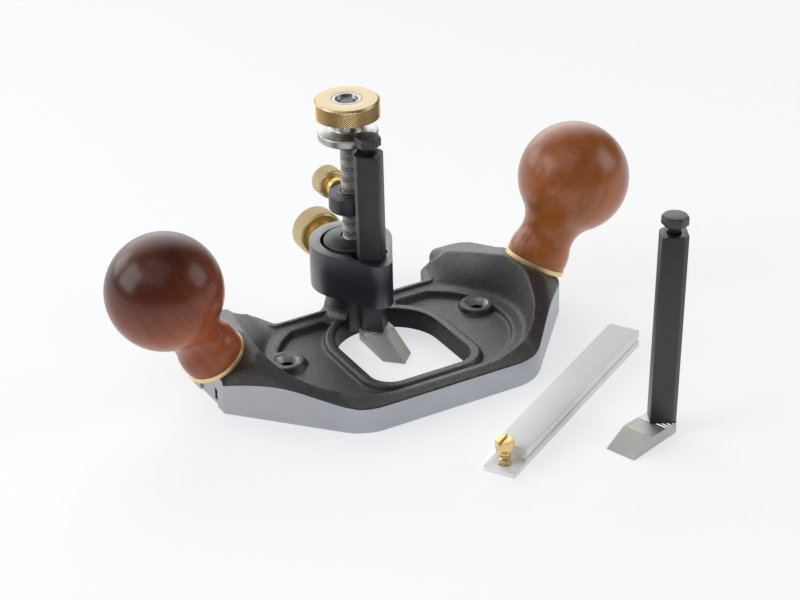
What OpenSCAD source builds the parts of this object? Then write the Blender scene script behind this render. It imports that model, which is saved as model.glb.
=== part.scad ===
// Hand router plane: a cast base with two raised wings that carry turned knobs,
// a round post that guides the cutter, a screw adjuster, a depth stop, and the
// loose fence and spare cutter that belong to the tool.
// Millimetres. X runs from knob to knob, +Y to the back, Z up from the sole.
// The origin lies on the sole, midway between the two countersunk screw holes.

/* [Base] */
// Width of the sole from end face to end face
base_w = 171; // [160:1:190]
// Distance from the hole line to the front edge
base_front = 60; // [56:1:70]
// Distance from the hole line to the back edge between the wings
base_back = 31; // [30:1:38]
// Distance from the hole line to the back of the wings
wing_back = 51.5; // [46:0.5:56]
// Length of the back edge between the wings
bay_w = 77; // [74:1:82]
// Distance between the backs of the two wings
wing_gap = 105; // [103:1:112]
// Distance from the hole line to the back of the shoulder beside each wing
shoulder_back = 42; // [38:0.5:44]
// Width of the shoulder beside each wing
shoulder_w = 7.7; // [6.5:0.1:8.5]
// Straight length of the front edge between the slanted sides
front_edge_w = 85; // [75:1:95]
// Where the slanted side meets the end face, in front of the hole line
end_front = 12; // [8:1:16]
// Where the back corner cut meets the end face, behind the hole line
end_back = 20; // [18:1:24]
// How far the back corner of the wing is drawn in from the end face
back_cut = 13.5; // [10:0.5:18]
// Radius of the two front corners
front_corner_r = 22; // [12:1:28]
// Height of the rim round the deck
rim_h = 10.5; // [9:0.5:13]
// Width of the rim along the back edge
back_rim_w = 4; // [3:0.5:6]
// Height of the shelf inside the rim
shelf_h = 9; // [8:0.1:9.5]
// Height of the sunk pockets between the shelf and the mouth
pocket_h = 6.5; // [5:0.1:7.5]

/* [Mouth] */
// Width of the mouth
mouth_w = 50.6; // [46:0.2:54]
// Front end of the mouth, in front of the hole line
mouth_front = 41.8; // [38:0.2:44]
// Back end of the mouth, behind the hole line
mouth_back = 20; // [18:0.2:21]
// Radius of the front corners of the mouth
mouth_front_r = 10; // [4:0.5:14]
// Radius of the back corners of the mouth
mouth_back_r = 22; // [14:0.5:23]
// Width of the raised lip round the mouth
mouth_lip_w = 4; // [3:0.5:5]

/* [Screw holes] */
// Distance between the two countersunk holes
hole_spacing = 97.2; // [90:0.2:104]
// Diameter of the holes
hole_d = 5; // [4:0.5:6]
// Diameter of the countersinks
countersink_d = 9.8; // [8:0.2:11]
// Diameter of the boss round each hole
hole_boss_d = 15; // [12:0.5:17]

/* [Wings and knob seats] */
// Outward tilt of the knobs
seat_tilt = 29; // [24:1:34]
// Centre of the knob seat in from the end face
seat_inset = 4.6; // [2:0.1:8]
// Centre of the knob seat behind the hole line
seat_y = 3; // [0:0.5:5]
// Height of the centre of the knob seat
seat_h = 18.9; // [17:0.1:21]
// Centre of the scoop from the middle of the tool
scoop_x = 18; // [14:0.5:22]
// Centre of the scoop in front of the hole line
scoop_y = 11; // [8:0.5:13]
// Radius of the scoop at the shelf
scoop_r = 42; // [39:0.5:44]
// Widening of the scoop wall for each millimetre of height
scoop_flare = 0.5; // [0.3:0.05:0.7]
// Radius of the sunk pocket about the scoop centre
pocket_r = 36; // [33:0.5:37]
// Where the back of the wing starts to rise, from the middle of the tool
wing_rise_start = 43; // [40:1:44]
// Where the back of the wing has risen to the seat
wing_rise_end = 62; // [58:1:66]
// Where the front slope of the wing starts, in front of the hole line
ramp_start = 59; // [54:1:59]
// Place of the ridge of the wing, behind the hole line
ridge_y = 2; // [0:0.5:6]
// Height of the ridge of the wing
ridge_h = 26.4; // [25.5:0.1:29]
// Height of the milled flat in each end face
end_flat_h = 9; // [7:0.5:10]
// Depth of the milled flat in each end face
end_flat_depth = 1; // [0.5:0.1:2]
// Length of the milled flat in each end face
end_flat_l = 18; // [12:1:24]
// Width of the slot in the milled flat
end_slot_w = 4.4; // [3:0.2:6]
// Height of the slot in the milled flat
end_slot_h = 5; // [4:0.2:6]
// Depth of the slot in the milled flat
end_slot_depth = 7; // [4:0.5:10]
// Distance of the slot in front of the hole line
end_slot_y = 4; // [0:0.5:6]

/* [Knobs] */
// Diameter of the ball of each knob
ball_d = 50.8; // [46:0.2:56]
// Height of the centre of the ball above the seat
ball_h = 44.3; // [42:0.1:48]
// Diameter of the neck
neck_d = 24.8; // [22:0.2:26.4]
// Height of the neck above the seat
neck_h = 15.5; // [14:0.1:17]
// Largest diameter of the foot of the knob
foot_d = 28; // [27.4:0.2:30]
// Height of the largest diameter of the foot above the seat
foot_h = 5.5; // [4.5:0.1:6.5]
// Diameter of the brass ferrule
ferrule_d = 28.6; // [28:0.2:32]
// Thickness of the brass ferrule
ferrule_t = 3.2; // [1.5:0.1:4]
// Diameter of the stud that holds the knob
stud_d = 6; // [5:0.5:8]
// Depth of the stud in the base
stud_in_base = 15; // [12:0.5:16]
// Length of the stud in the knob
stud_in_knob = 34; // [25:1:40]

/* [Post and adjuster rod] */
// Diameter of the post
post_d = 26; // [24:0.5:28]
// Distance of the post axis behind the hole line
post_y = 27.2; // [24:0.2:29]
// Height of the post to the edge of its domed top
post_h = 42.5; // [40:0.5:46]
// Rise of the domed top
post_dome = 3; // [2:0.5:4]
// Radius of the flare at the foot of the post
post_flare = 5; // [3:0.5:8]
// Distance of the bottom of the guide notch from the post axis
notch_back = 10; // [9.5:0.1:10.5]
// Diameter of the adjuster rod
rod_d = 8; // [6:0.05:9]
// Height of the top of the rod
rod_top = 111; // [106:0.5:116]
// Depth of the rod in the post
rod_seat = 24; // [18:1:30]

/* [Cutters] */
// Width across the flats of the square shank
shank_s = 11.4; // [11:0.1:12]
// Width of the shank across its flattened side corners
shank_w = 13.2; // [12.6:0.1:14]
// Height of the shank top above the cutting edge
shank_top = 92; // [86:0.5:98]
// Height of the cutting edge above the sole as shown
edge_h = 1.2; // [0.5:0.1:3]
// Width of the cutter foot
blade_w = 14.5; // [14:0.1:16]
// Height of the top of the cutter foot above the edge
blade_h = 7.4; // [6:0.1:9]
// Reach of the spear point in front of the shank axis
spear_reach = 25.5; // [23:0.1:28]
// Reach of the straight edge in front of the shank axis
straight_reach = 28; // [25:0.1:30]
// Length of the bevel of the straight edge
straight_bevel = 11.5; // [9:0.1:14]
// Clearance angle under the cutter foot
relief = 3; // [2:0.5:4]
// Diameter of the blade screw under the foot
blade_screw_d = 4; // [3:0.5:5]
// Depth of the blade screw in the shank
blade_screw_grip = 10; // [7:0.5:14]
// Width across the flats of the shank bolt
bolt_af = 11; // [10:0.2:13]
// Height of the head of the shank bolt
bolt_head_h = 4.3; // [3.5:0.1:6]
// Diameter of the neck of the shank bolt
bolt_neck_d = 6; // [5:0.5:6.5]
// Depth of the shank bolt in the shank
bolt_grip = 14; // [10:1:20]

/* [Depth wheel] */
// Diameter of the brass wheel
wheel_d = 29.4; // [27:0.2:32]
// Thickness of the brass wheel
wheel_t = 8.6; // [7:0.2:10]
// Diameter of the steel flange that carries the cutter
flange_d = 26.8; // [26:0.2:28]
// Thickness of the steel flange
flange_t = 3.8; // [3:0.1:4.5]
// Diameter of the hub of the flange
hub_d = 13.5; // [11:0.5:15]
// Height of the bare hub between the flange and the wheel
hub_gap = 6.2; // [5.8:0.1:8]
// Diameter of the dished top of the hub
hub_dish_d = 10.4; // [8:0.5:10.5]
// Depth of the dished top of the hub
hub_dish = 1.8; // [1:0.1:2.5]

/* [Clamp] */
// Outside radius of the back of the collar
collar_r = 18.7; // [18.5:0.1:22]
// Radius of the nose of the collar
nose_r = 6.5; // [5.5:0.1:8]
// Thickness of the collar in front of the shank
nose_t = 3.8; // [2.5:0.1:4]
// Height of the collar
collar_h = 21; // [18:0.5:22]
// Height of the bottom of the collar above the sole
collar_z = 22; // [20.5:0.5:23]
// Angle of the cut under the back of the collar
collar_cut = 25; // [15:1:28]
// Distance of that cut behind the axis of the back
collar_cut_y = 5; // [4:0.5:8]
// Travel of the collar when it is slackened
collar_travel = 1.5; // [1:0.1:2]
// Diameter of the thread of the clamp screw
clamp_thread_d = 6; // [5:0.5:7]
// Height of the clamp screw above the bottom of the collar
clamp_screw_z = 10.5; // [10:0.2:14]
// Diameter of the head of the clamp screw
clamp_head_d = 20; // [18:0.5:22]
// Length of the head of the clamp screw
clamp_head_l = 10; // [8:0.5:12]
// Diameter of the shoulder of the clamp screw
clamp_neck_d = 14; // [10:0.5:16]
// Length of the shoulder of the clamp screw
clamp_neck_l = 8; // [5:0.1:10]
// Room between the collar and the shoulder of the clamp screw
clamp_room = 1.2; // [1:0.1:3]

/* [Depth stop] */
// Outside diameter of the stop ring
stop_d = 19.5; // [18:0.1:19.8]
// Height of the stop ring
stop_h = 8.7; // [8:0.1:11]
// Height of the bottom of the stop ring above the post rim
stop_lift = 16.8; // [10:0.1:20]
// Chamfer of the stop ring
stop_chamfer = 1; // [0.5:0.1:1.5]
// Diameter of the thread of the stop screw
stop_thread_d = 5; // [3:0.5:5]
// Diameter of the head of the stop screw
stop_head_d = 13; // [11:0.5:15]
// Length of the head of the stop screw
stop_head_l = 9; // [7:0.5:11]
// Diameter of the shoulder of the stop screw
stop_neck_d = 9; // [7:0.5:11]
// Length of the shoulder of the stop screw
stop_neck_l = 4.7; // [2:0.1:6]
// Room between the stop ring and the shoulder of the stop screw
stop_room = 1.5; // [1:0.1:3]

/* [Fence] */
// Length of the fence bar
fence_l = 122; // [100:1:140]
// Width of the fence bar
fence_w = 14.5; // [12:0.5:18]
// Height of the fence bar
fence_h = 8.2; // [7:0.2:10]
// Length of the thin tongue at its near end
tongue_l = 11; // [10:0.5:14]
// Thickness of the tongue
tongue_t = 2.6; // [2:0.1:3.5]
// Height of the groove in the side of the bar
groove_h = 1.6; // [1:0.1:2.2]
// Depth of the groove in the side of the bar
groove_depth = 1.2; // [0.6:0.1:2]
// Diameter of the fence screw
fence_screw_d = 4.5; // [4:0.5:6]
// Diameter of the head of the fence screw
fence_head_d = 8; // [7:0.5:9.5]
// Height of the head of the fence screw
fence_head_h = 4; // [3:0.5:5]
// Length of the fence screw under its head
fence_screw_l = 10.4; // [8:0.2:13]
// Place of the middle of the near end of the fence, along X
fence_x = -11; // [-20:1:0]
// Place of the middle of the near end of the fence, along Y
fence_y = -115; // [-125:1:-112]
// Direction of the fence, turned from X
fence_turn = 30.8; // [20:0.2:36]

/* [Spare cutter place] */
// Place of the middle of the cutting edge, along X
spare_x = 39.7; // [30:0.1:50]
// Place of the middle of the cutting edge, along Y
spare_y = -128.4; // [-136:0.1:-126]
// Direction of the cutter foot, turned from Y
spare_turn = -72; // [-80:1:-60]

/* [Clearances] */
// Radial clearance of a screw or shaft that turns
running_gap = 0.05; // [0.02:0.01:0.1]
// Gap between sliding flat faces
slide_gap = 0.1; // [0.05:0.05:0.3]
// Axial play of the flange under the bolt head and over the shank
flange_play = 0.35; // [0.2:0.05:0.5]
// Gap kept behind the post when the collar is slack
slack_gap = 0.3; // [0.2:0.1:0.6]

/* [Hidden] */

$fn = 96;
eps = 0.01;
reach = 200;
arc_steps = 10;

half_w = base_w / 2;
seat_x = half_w - seat_inset;
half_mouth = mouth_w / 2;
post_r = post_d / 2;
ball_r = ball_d / 2;
neck_r = neck_d / 2;
foot_r = foot_d / 2;
back_in = base_back - back_rim_w;
// Half of the diagonal of the square shank
shank_corner = shank_s / sqrt(2);
notch_y = post_y - notch_back;
shank_y = notch_y - shank_corner - slide_gap * sqrt(2);
shank_front = shank_y - shank_corner;
// Radius of the concave neck that is tangent to the ball
neck_arc_r = (neck_r ^ 2 + (ball_h - neck_h) ^ 2 - ball_r ^ 2) / (2 * (ball_r - neck_r));
neck_centre = [neck_r + neck_arc_r, neck_h];
// Radius of the convex foot that is tangent to the neck
foot_side = neck_centre.x - foot_r;
foot_arc_r = (foot_side ^ 2 + (neck_h - foot_h) ^ 2 - neck_arc_r ^ 2) / (2 * (neck_arc_r - foot_side));
foot_centre = [foot_r - foot_arc_r, foot_h];
ball_centre = [0, ball_h];
flange_z = edge_h + shank_top + flange_play;
wheel_z = flange_z + flange_t + hub_gap;
wheel_top = wheel_z + wheel_t;
bolt_gap = flange_t + 2 * flange_play;
collar_bore_r = post_r + collar_travel / 2 + slack_gap;
// Axis of the back of the collar, drawn back while the cutter is clamped
collar_y = post_y + collar_travel;
nose_y = shank_front - nose_t + nose_r;
clamp_z = collar_z + clamp_screw_z;
stop_z = post_h + stop_lift;
relief_rise = tan(relief);

// Angle of the line from one point to another
function bearing(from, to) = atan2(to.y - from.y, to.x - from.x);
// Points of an arc
function arc(centre, r, from, to, steps = arc_steps) =
    [for (i = [0:steps]) let (a = from + (to - from) * i / steps) centre + r * [cos(a), sin(a)]];
// Points of the rounded corner at b on the way from a to c
function corner(a, b, c, r) = let (
        u = (a - b) / norm(a - b),
        v = (c - b) / norm(c - b),
        half = acos(u * v) / 2,
        centre = b + (u + v) / norm(u + v) * r / sin(half),
        start = bearing(centre, b + u * r / tan(half)),
        turn = (180 - 2 * half) * (cross(u, v) < 0 ? 1 : -1))
    arc(centre, r, start, start + turn);
// A closed outline with the given radius at each corner
function rounded(points, radii) = let (n = len(points))
    [for (i = [0:n - 1]) each corner(points[(i + n - 1) % n], points[i], points[(i + 1) % n], radii[i])];
// A smooth rise from one point to another, level at both ends
function rise(from, to, steps = 2 * arc_steps) =
    [for (i = [0:steps]) let (t = i / steps)
        [from.x + (to.x - from.x) * t, from.y + (to.y - from.y) * (1 - cos(180 * t)) / 2]];
// Height of the tilted seat plane at a distance from the middle of the tool
function seat_plane(x) = seat_h - (x - seat_x) * tan(seat_tilt);

module mirrored() {
    children();
    mirror([1, 0, 0]) children();
}

module on_seat() {
    translate([seat_x, seat_y, seat_h]) rotate([0, seat_tilt, 0]) children();
}

module sole_outline() {
    edge = front_edge_w / 2;
    shoulder_x = wing_gap / 2 - 1.8;
    side = [[edge, -base_front], [half_w, -end_front], [half_w, end_back],
        [half_w - back_cut, wing_back], [wing_gap / 2, wing_back], [shoulder_x, shoulder_back],
        [shoulder_x - shoulder_w, shoulder_back], [bay_w / 2, base_back]];
    radii = [front_corner_r, 2, 8, 14, 4, 1.5, 3, 2];
    last = len(side) - 1;
    polygon(rounded(
        concat(side, [for (i = [last:-1:0]) [-side[i].x, side[i].y]]),
        concat(radii, [for (i = [last:-1:0]) radii[i]])));
}

module mouth_outline(grow = 0) {
    side = half_mouth + grow;
    front = -mouth_front - grow;
    back = mouth_back + grow;
    polygon(rounded(
        [[-side, front], [side, front], [side, back], [-side, back]],
        [mouth_front_r + grow, mouth_front_r + grow, mouth_back_r + grow, mouth_back_r + grow]));
}

// One wing before it is scooped out: the sole outline under the seat plane,
// the rise from the middle, and the slopes to the front and the back
module wing() {
    top = [wing_rise_end, seat_plane(wing_rise_end)];
    intersection() {
        linear_extrude(reach) sole_outline();
        translate([0, reach / 2, 0]) rotate([90, 0, 0]) linear_extrude(reach)
            polygon(concat([[wing_rise_start, 0]], rise([wing_rise_start, rim_h], top),
                [[half_w + eps, seat_plane(half_w + eps)], [half_w + eps, 0]]));
        rotate([90, 0, 90]) linear_extrude(reach)
            polygon([[-base_front - eps, 0], [-base_front - eps, rim_h], [-ramp_start, rim_h],
                [ridge_y, ridge_h], [wing_back, rim_h], [wing_back + eps, rim_h], [wing_back + eps, 0]]);
    }
}

// The hollow above the deck: a round scoop in each wing and the space between
module scoops() {
    wall_h = 2 * ridge_h;
    intersection() {
        union() {
            mirrored() translate([scoop_x, -scoop_y, shelf_h])
                cylinder(h = wall_h, r1 = scoop_r, r2 = scoop_r + wall_h * scoop_flare);
            translate([-scoop_x, -scoop_y - scoop_r, shelf_h]) cube([2 * scoop_x, 2 * scoop_r, wall_h]);
        }
        translate([-reach / 2, back_in - reach, 0]) cube([reach, reach, reach]);
    }
}

// The sunk pockets: the deck between the shelf and the lip of the mouth
module pockets() {
    pocket_back = back_in - (scoop_r - pocket_r);
    difference() {
        intersection() {
            union() {
                mirrored() translate([scoop_x, -scoop_y, pocket_h]) cylinder(h = rim_h, r = pocket_r);
                translate([-scoop_x, -scoop_y - pocket_r, pocket_h]) cube([2 * scoop_x, 2 * pocket_r, rim_h]);
            }
            translate([-reach / 2, pocket_back - reach, 0]) cube([reach, reach, reach]);
        }
        linear_extrude(reach) mouth_outline(mouth_lip_w);
        mirrored() translate([hole_spacing / 2, 0, 0]) cylinder(h = shelf_h, d = hole_boss_d);
        translate([0, post_y, 0]) cylinder(h = reach, r = post_r + post_flare);
    }
}

module post_flare_ring() {
    translate([0, post_y, 0]) rotate_extrude()
        polygon(concat([[0, 0], [post_r + post_flare, 0]],
            arc([post_r + post_flare, shelf_h + post_flare], post_flare, 270, 180), [[0, shelf_h + post_flare]]));
}

module post() {
    dome_r = (post_r ^ 2 + post_dome ^ 2) / (2 * post_dome);
    difference() {
        translate([0, post_y, 0]) union() {
            cylinder(h = post_h, r = post_r);
            intersection() {
                translate([0, 0, post_h + post_dome - dome_r]) sphere(dome_r);
                cylinder(h = post_h + post_dome, r = post_r);
            }
        }
        translate([0, notch_y, -eps]) rotate([0, 0, 225]) cube([post_d, post_d, reach]);
    }
}

module body_casting() {
    color("#3a3b3d") difference() {
        union() {
            difference() {
                union() {
                    difference() {
                        union() {
                            linear_extrude(rim_h) sole_outline();
                            mirrored() wing();
                        }
                        scoops();
                        pockets();
                    }
                    post_flare_ring();
                }
                translate([0, 0, -eps]) linear_extrude(reach) mouth_outline();
            }
            post();
        }
        translate([0, post_y, post_h - rod_seat]) cylinder(h = reach, d = rod_d + 2 * running_gap);
        mirrored() {
            translate([hole_spacing / 2, 0, -eps]) {
                cylinder(h = reach, d = hole_d);
                translate([0, 0, shelf_h + 2 * eps - (countersink_d - hole_d) / 2])
                    cylinder(h = countersink_d / 2, d1 = hole_d, d2 = hole_d + countersink_d);
            }
            on_seat() translate([0, 0, -stud_in_base]) cylinder(h = reach, d = stud_d + 2 * running_gap);
            translate([half_w - end_flat_depth, seat_y - end_flat_l / 2, -eps])
                cube([end_flat_depth + 1, end_flat_l, end_flat_h + eps]);
            translate([half_w - end_slot_depth, -end_slot_y - end_slot_w / 2, (end_flat_h - end_slot_h) / 2])
                cube([end_slot_depth + 1, end_slot_w, end_slot_h]);
        }
    }
}

module knob() {
    ball_tangent = bearing(ball_centre, neck_centre);
    foot_tangent = bearing(foot_centre, neck_centre);
    foot_start = asin((ferrule_t - foot_h) / foot_arc_r);
    color("#8a4a2b") on_seat() difference() {
        rotate_extrude() polygon(concat(
            [[0, ferrule_t]],
            arc(foot_centre, foot_arc_r, foot_start, foot_tangent),
            arc(neck_centre, neck_arc_r, foot_tangent + 180, ball_tangent + 180),
            arc(ball_centre, ball_r, ball_tangent, 90, 2 * arc_steps)));
        cylinder(h = ferrule_t + stud_in_knob, d = stud_d + 2 * running_gap);
    }
}

module ferrule() {
    color("#d8b25a") on_seat() difference() {
        cylinder(h = ferrule_t, d = ferrule_d);
        translate([0, 0, -eps]) cylinder(h = ferrule_t + 2 * eps, d = stud_d + 2 * running_gap);
    }
}

module knob_stud() {
    color("#b9bcc0") on_seat() translate([0, 0, -stud_in_base])
        cylinder(h = stud_in_base + ferrule_t + stud_in_knob, d = stud_d);
}

module adjuster_rod() {
    tip = rod_d / 8;
    color("#b9bcc0") translate([0, post_y, post_h - rod_seat]) {
        cylinder(h = rod_top - post_h + rod_seat - tip, d = rod_d);
        translate([0, 0, rod_top - post_h + rod_seat - tip])
            cylinder(h = tip, d1 = rod_d, d2 = rod_d - 2 * tip);
    }
}

// The cutters are drawn with the shank axis on Z, the cutting edge level with
// the origin and the point towards the front
module shank() {
    color("#26272a") difference() {
        intersection() {
            rotate([0, 0, 45]) translate([-shank_s / 2, -shank_s / 2, blade_h])
                cube([shank_s, shank_s, shank_top - blade_h]);
            translate([-shank_w / 2, -shank_s, 0]) cube([shank_w, 2 * shank_s, shank_top]);
        }
        translate([0, 0, shank_top - bolt_grip]) cylinder(h = bolt_grip + eps, d = bolt_neck_d + 2 * running_gap);
        cylinder(h = blade_h + blade_screw_grip, d = blade_screw_d + 2 * running_gap);
    }
}

// The foot of a cutter in plan, from its front outline to a back that
// follows the back corner of the shank
module foot_plan(front) {
    side = blade_w / 2;
    back = shank_corner - side;
    polygon(concat(front, [[side, back], [0, shank_corner], [-side, back]]));
}

module blade_screw_hole() {
    translate([0, 0, -blade_h]) cylinder(h = 3 * blade_h, d = blade_screw_d + 2 * running_gap);
    translate([0, 0, -eps]) cylinder(h = blade_h / 2, d = 2 * blade_screw_d);
}

module spear_blade() {
    side = blade_w / 2;
    shoulder = -spear_reach + side;
    bevel = atan(blade_h * sqrt(2) / (spear_reach - shank_corner));
    color("#8f8a82") difference() {
        linear_extrude(blade_h) foot_plan([[-side, shoulder], [0, -spear_reach], [side, shoulder]]);
        mirrored() translate([0, -spear_reach, 0]) rotate([0, 0, 45]) rotate([bevel, 0, 0])
            translate([-reach / 2, -reach / 2, 0]) cube(reach);
        translate([0, shoulder, 0]) rotate([relief, 0, 0]) translate([-reach / 2, 0, -reach]) cube(reach);
        blade_screw_hole();
    }
}

module straight_blade() {
    side = blade_w / 2;
    bevel = atan(blade_h / straight_bevel);
    color("#8f8a82") difference() {
        linear_extrude(blade_h) foot_plan([[-side, -straight_reach], [side, -straight_reach]]);
        translate([0, -straight_reach, 0]) rotate([bevel, 0, 0])
            translate([-reach / 2, -reach / 2, 0]) cube(reach);
        translate([0, -straight_reach, 0]) rotate([relief, 0, 0])
            translate([-reach / 2, 0, -reach]) cube(reach);
        blade_screw_hole();
    }
}

module blade_screw() {
    head_r = blade_screw_d - running_gap;
    head_z = blade_h / 2 - eps;
    socket_d = blade_screw_d * 0.8;
    head_h = blade_h / 4;
    color("#55575a") difference() {
        union() {
            translate([0, 0, head_z - head_h]) cylinder(h = head_h, r = head_r);
            translate([0, 0, head_z - eps]) cylinder(h = blade_h - head_z + blade_screw_grip - slide_gap, d = blade_screw_d);
        }
        translate([0, 0, head_z - head_h - eps]) cylinder(h = head_h * 0.7, d = socket_d, $fn = 6);
    }
}

module shank_bolt() {
    corner_d = bolt_af / cos(30);
    chamfer = (corner_d - bolt_af) / 2;
    color("#2b2c2f") translate([0, 0, shank_top]) {
        translate([0, 0, slide_gap - bolt_grip]) cylinder(h = bolt_grip + bolt_gap, d = bolt_neck_d);
        translate([0, 0, bolt_gap]) intersection() {
            rotate([0, 0, 30]) cylinder(h = bolt_head_h, d = corner_d, $fn = 6);
            union() {
                cylinder(h = bolt_head_h - chamfer, d = corner_d);
                translate([0, 0, bolt_head_h - chamfer]) cylinder(h = chamfer, d1 = corner_d, d2 = bolt_af);
            }
        }
    }
}

module in_post() {
    translate([0, shank_y, edge_h]) children();
}

module on_bench() {
    translate([spare_x, spare_y, 0]) rotate([0, 0, spare_turn]) rotate([-relief, 0, 0])
        translate([0, straight_reach, 0]) children();
}

module cutter_shank() { in_post() shank(); }
module cutter_blade() { in_post() spear_blade(); }
module cutter_blade_screw() { in_post() blade_screw(); }
module cutter_bolt() { in_post() shank_bolt(); }
module spare_shank() { on_bench() shank(); }
module spare_blade() { on_bench() straight_blade(); }
module spare_blade_screw() { on_bench() blade_screw(); }
module spare_bolt() { on_bench() shank_bolt(); }

module wheel_nut() {
    hub_top = flange_t + hub_gap + wheel_t;
    color("#c4c6c9") translate([0, post_y, flange_z]) difference() {
        union() {
            cylinder(h = flange_t, d = flange_d);
            cylinder(h = hub_top, d = hub_d);
        }
        translate([0, 0, -eps]) cylinder(h = reach, d = rod_d + 2 * running_gap);
        translate([0, 0, hub_top - hub_dish]) cylinder(h = hub_dish + eps, d1 = rod_d, d2 = hub_dish_d);
    }
}

module depth_wheel() {
    chamfer = wheel_t / 10;
    side = wheel_d / 2;
    bore = hub_d / 2 + running_gap;
    color("#d8b25a") translate([0, post_y, wheel_z]) rotate_extrude()
        polygon([[bore, 0], [side - chamfer, 0], [side, chamfer], [side, wheel_t - chamfer],
            [side - chamfer, wheel_t], [bore, wheel_t]]);
}

// The collar in plan: a round back and a round nose with straight cheeks
module collar_plan() {
    lean = asin((collar_r - nose_r) / (collar_y - nose_y));
    polygon(concat(
        arc([0, collar_y], collar_r, -lean, 180 + lean, 4 * arc_steps),
        arc([0, nose_y], nose_r, 180 + lean, 360 - lean, 2 * arc_steps)));
}

module clamp_collar() {
    hole = shank_corner + slide_gap * sqrt(2);
    bore_y = (post_y + collar_y) / 2;
    color("#2a2d36") difference() {
        translate([0, 0, collar_z]) linear_extrude(collar_h) collar_plan();
        translate([0, bore_y, 0]) cylinder(h = reach, r = collar_bore_r);
        linear_extrude(reach) polygon([[0, shank_y - hole], [hole, shank_y], [hole, bore_y], [-hole, bore_y], [-hole, shank_y]]);
        translate([0, post_y, clamp_z]) rotate([-90, 0, 0])
            cylinder(h = reach, d = clamp_thread_d + 2 * running_gap);
        translate([-reach / 2, collar_y + collar_cut_y, collar_z]) rotate([collar_cut, 0, 0])
            translate([0, 0, -reach]) cube(reach);
    }
}

// A thumb screw along +Y: thread, shoulder and head, from its tip
module thumb_screw(thread_d, thread_l, neck_d, neck_l, head_d, head_l) {
    chamfer = head_l / 12;
    side = head_d / 2;
    head = thread_l + neck_l;
    color("#d8b25a") rotate([-90, 0, 0]) rotate_extrude()
        polygon([[0, 0], [thread_d / 2, 0], [thread_d / 2, thread_l], [neck_d / 2, thread_l], [neck_d / 2, head],
            [side - chamfer, head], [side, head + chamfer], [side, head + head_l - chamfer],
            [side - chamfer, head + head_l], [0, head + head_l]]);
}

module clamp_screw() {
    tip = post_y + post_r + slide_gap;
    translate([0, tip, clamp_z])
        thumb_screw(clamp_thread_d, collar_y + collar_r + clamp_room - tip, clamp_neck_d, clamp_neck_l,
            clamp_head_d, clamp_head_l);
}

module stop_ring() {
    side = stop_d / 2;
    bore = rod_d / 2 + running_gap;
    color("#303136") difference() {
        translate([0, post_y, stop_z]) rotate_extrude()
            polygon([[bore, 0], [side, 0], [side, stop_h - stop_chamfer], [side - stop_chamfer, stop_h], [bore, stop_h]]);
        translate([0, post_y, stop_z + stop_h / 2]) rotate([-90, 0, 0])
            cylinder(h = stop_d, d = stop_thread_d + 2 * running_gap);
    }
}

module stop_screw() {
    tip = rod_d / 2 + slide_gap;
    translate([0, post_y + tip, stop_z + stop_h / 2])
        thumb_screw(stop_thread_d, stop_d / 2 + stop_room - tip, stop_neck_d, stop_neck_l, stop_head_d, stop_head_l);
}

module on_fence() {
    translate([fence_x, fence_y, 0]) rotate([0, 0, fence_turn]) children();
}

module fence_bar() {
    color("#d9dbdd") on_fence() difference() {
        translate([0, -fence_w / 2, 0]) cube([fence_l, fence_w, fence_h]);
        translate([-eps, -fence_w, tongue_t]) cube([tongue_l + eps, 2 * fence_w, fence_h]);
        translate([-eps, -fence_w / 2 - eps, (fence_h - groove_h) / 2]) cube([fence_l + 2 * eps, groove_depth + eps, groove_h]);
        translate([tongue_l / 2, 0, -eps]) cylinder(h = reach, d = fence_screw_d + 2 * running_gap);
    }
}

module fence_screw() {
    slot = fence_head_d / 6;
    color("#d8b25a") on_fence() translate([tongue_l / 2, 0, slide_gap]) difference() {
        union() {
            cylinder(h = fence_screw_l, d = fence_screw_d);
            translate([0, 0, fence_screw_l]) cylinder(h = fence_head_h, d = fence_head_d);
        }
        translate([-fence_head_d, -slot / 2, fence_screw_l + fence_head_h - slot])
            cube([2 * fence_head_d, slot, 2 * slot]);
    }
}

body_casting();
mirror([1, 0, 0]) knob();  // left_knob
knob();  // right_knob
mirror([1, 0, 0]) ferrule();  // left_ferrule
ferrule();  // right_ferrule
mirror([1, 0, 0]) knob_stud();  // left_knob_stud
knob_stud();  // right_knob_stud
adjuster_rod();
cutter_shank();
cutter_blade();
cutter_blade_screw();
cutter_bolt();
wheel_nut();
depth_wheel();
clamp_collar();
clamp_screw();
stop_ring();
stop_screw();
fence_bar();
fence_screw();
spare_shank();
spare_blade();
spare_blade_screw();
spare_bolt();
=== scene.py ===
# %% [markdown]
# # A hand router plane
# This lesson dresses the solid model of a hand router plane: a black cast base
# with two wooden ball knobs, a cutter held to a round post, a brass depth wheel,
# and the loose fence and spare cutter that lie beside it.
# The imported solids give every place, so each piece below is built in their frame.

# %% Load the solids
import math

import bmesh
import bpy
import numpy as np
from mathutils import Matrix, Vector
from mathutils.geometry import delaunay_2d_cdt


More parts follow.
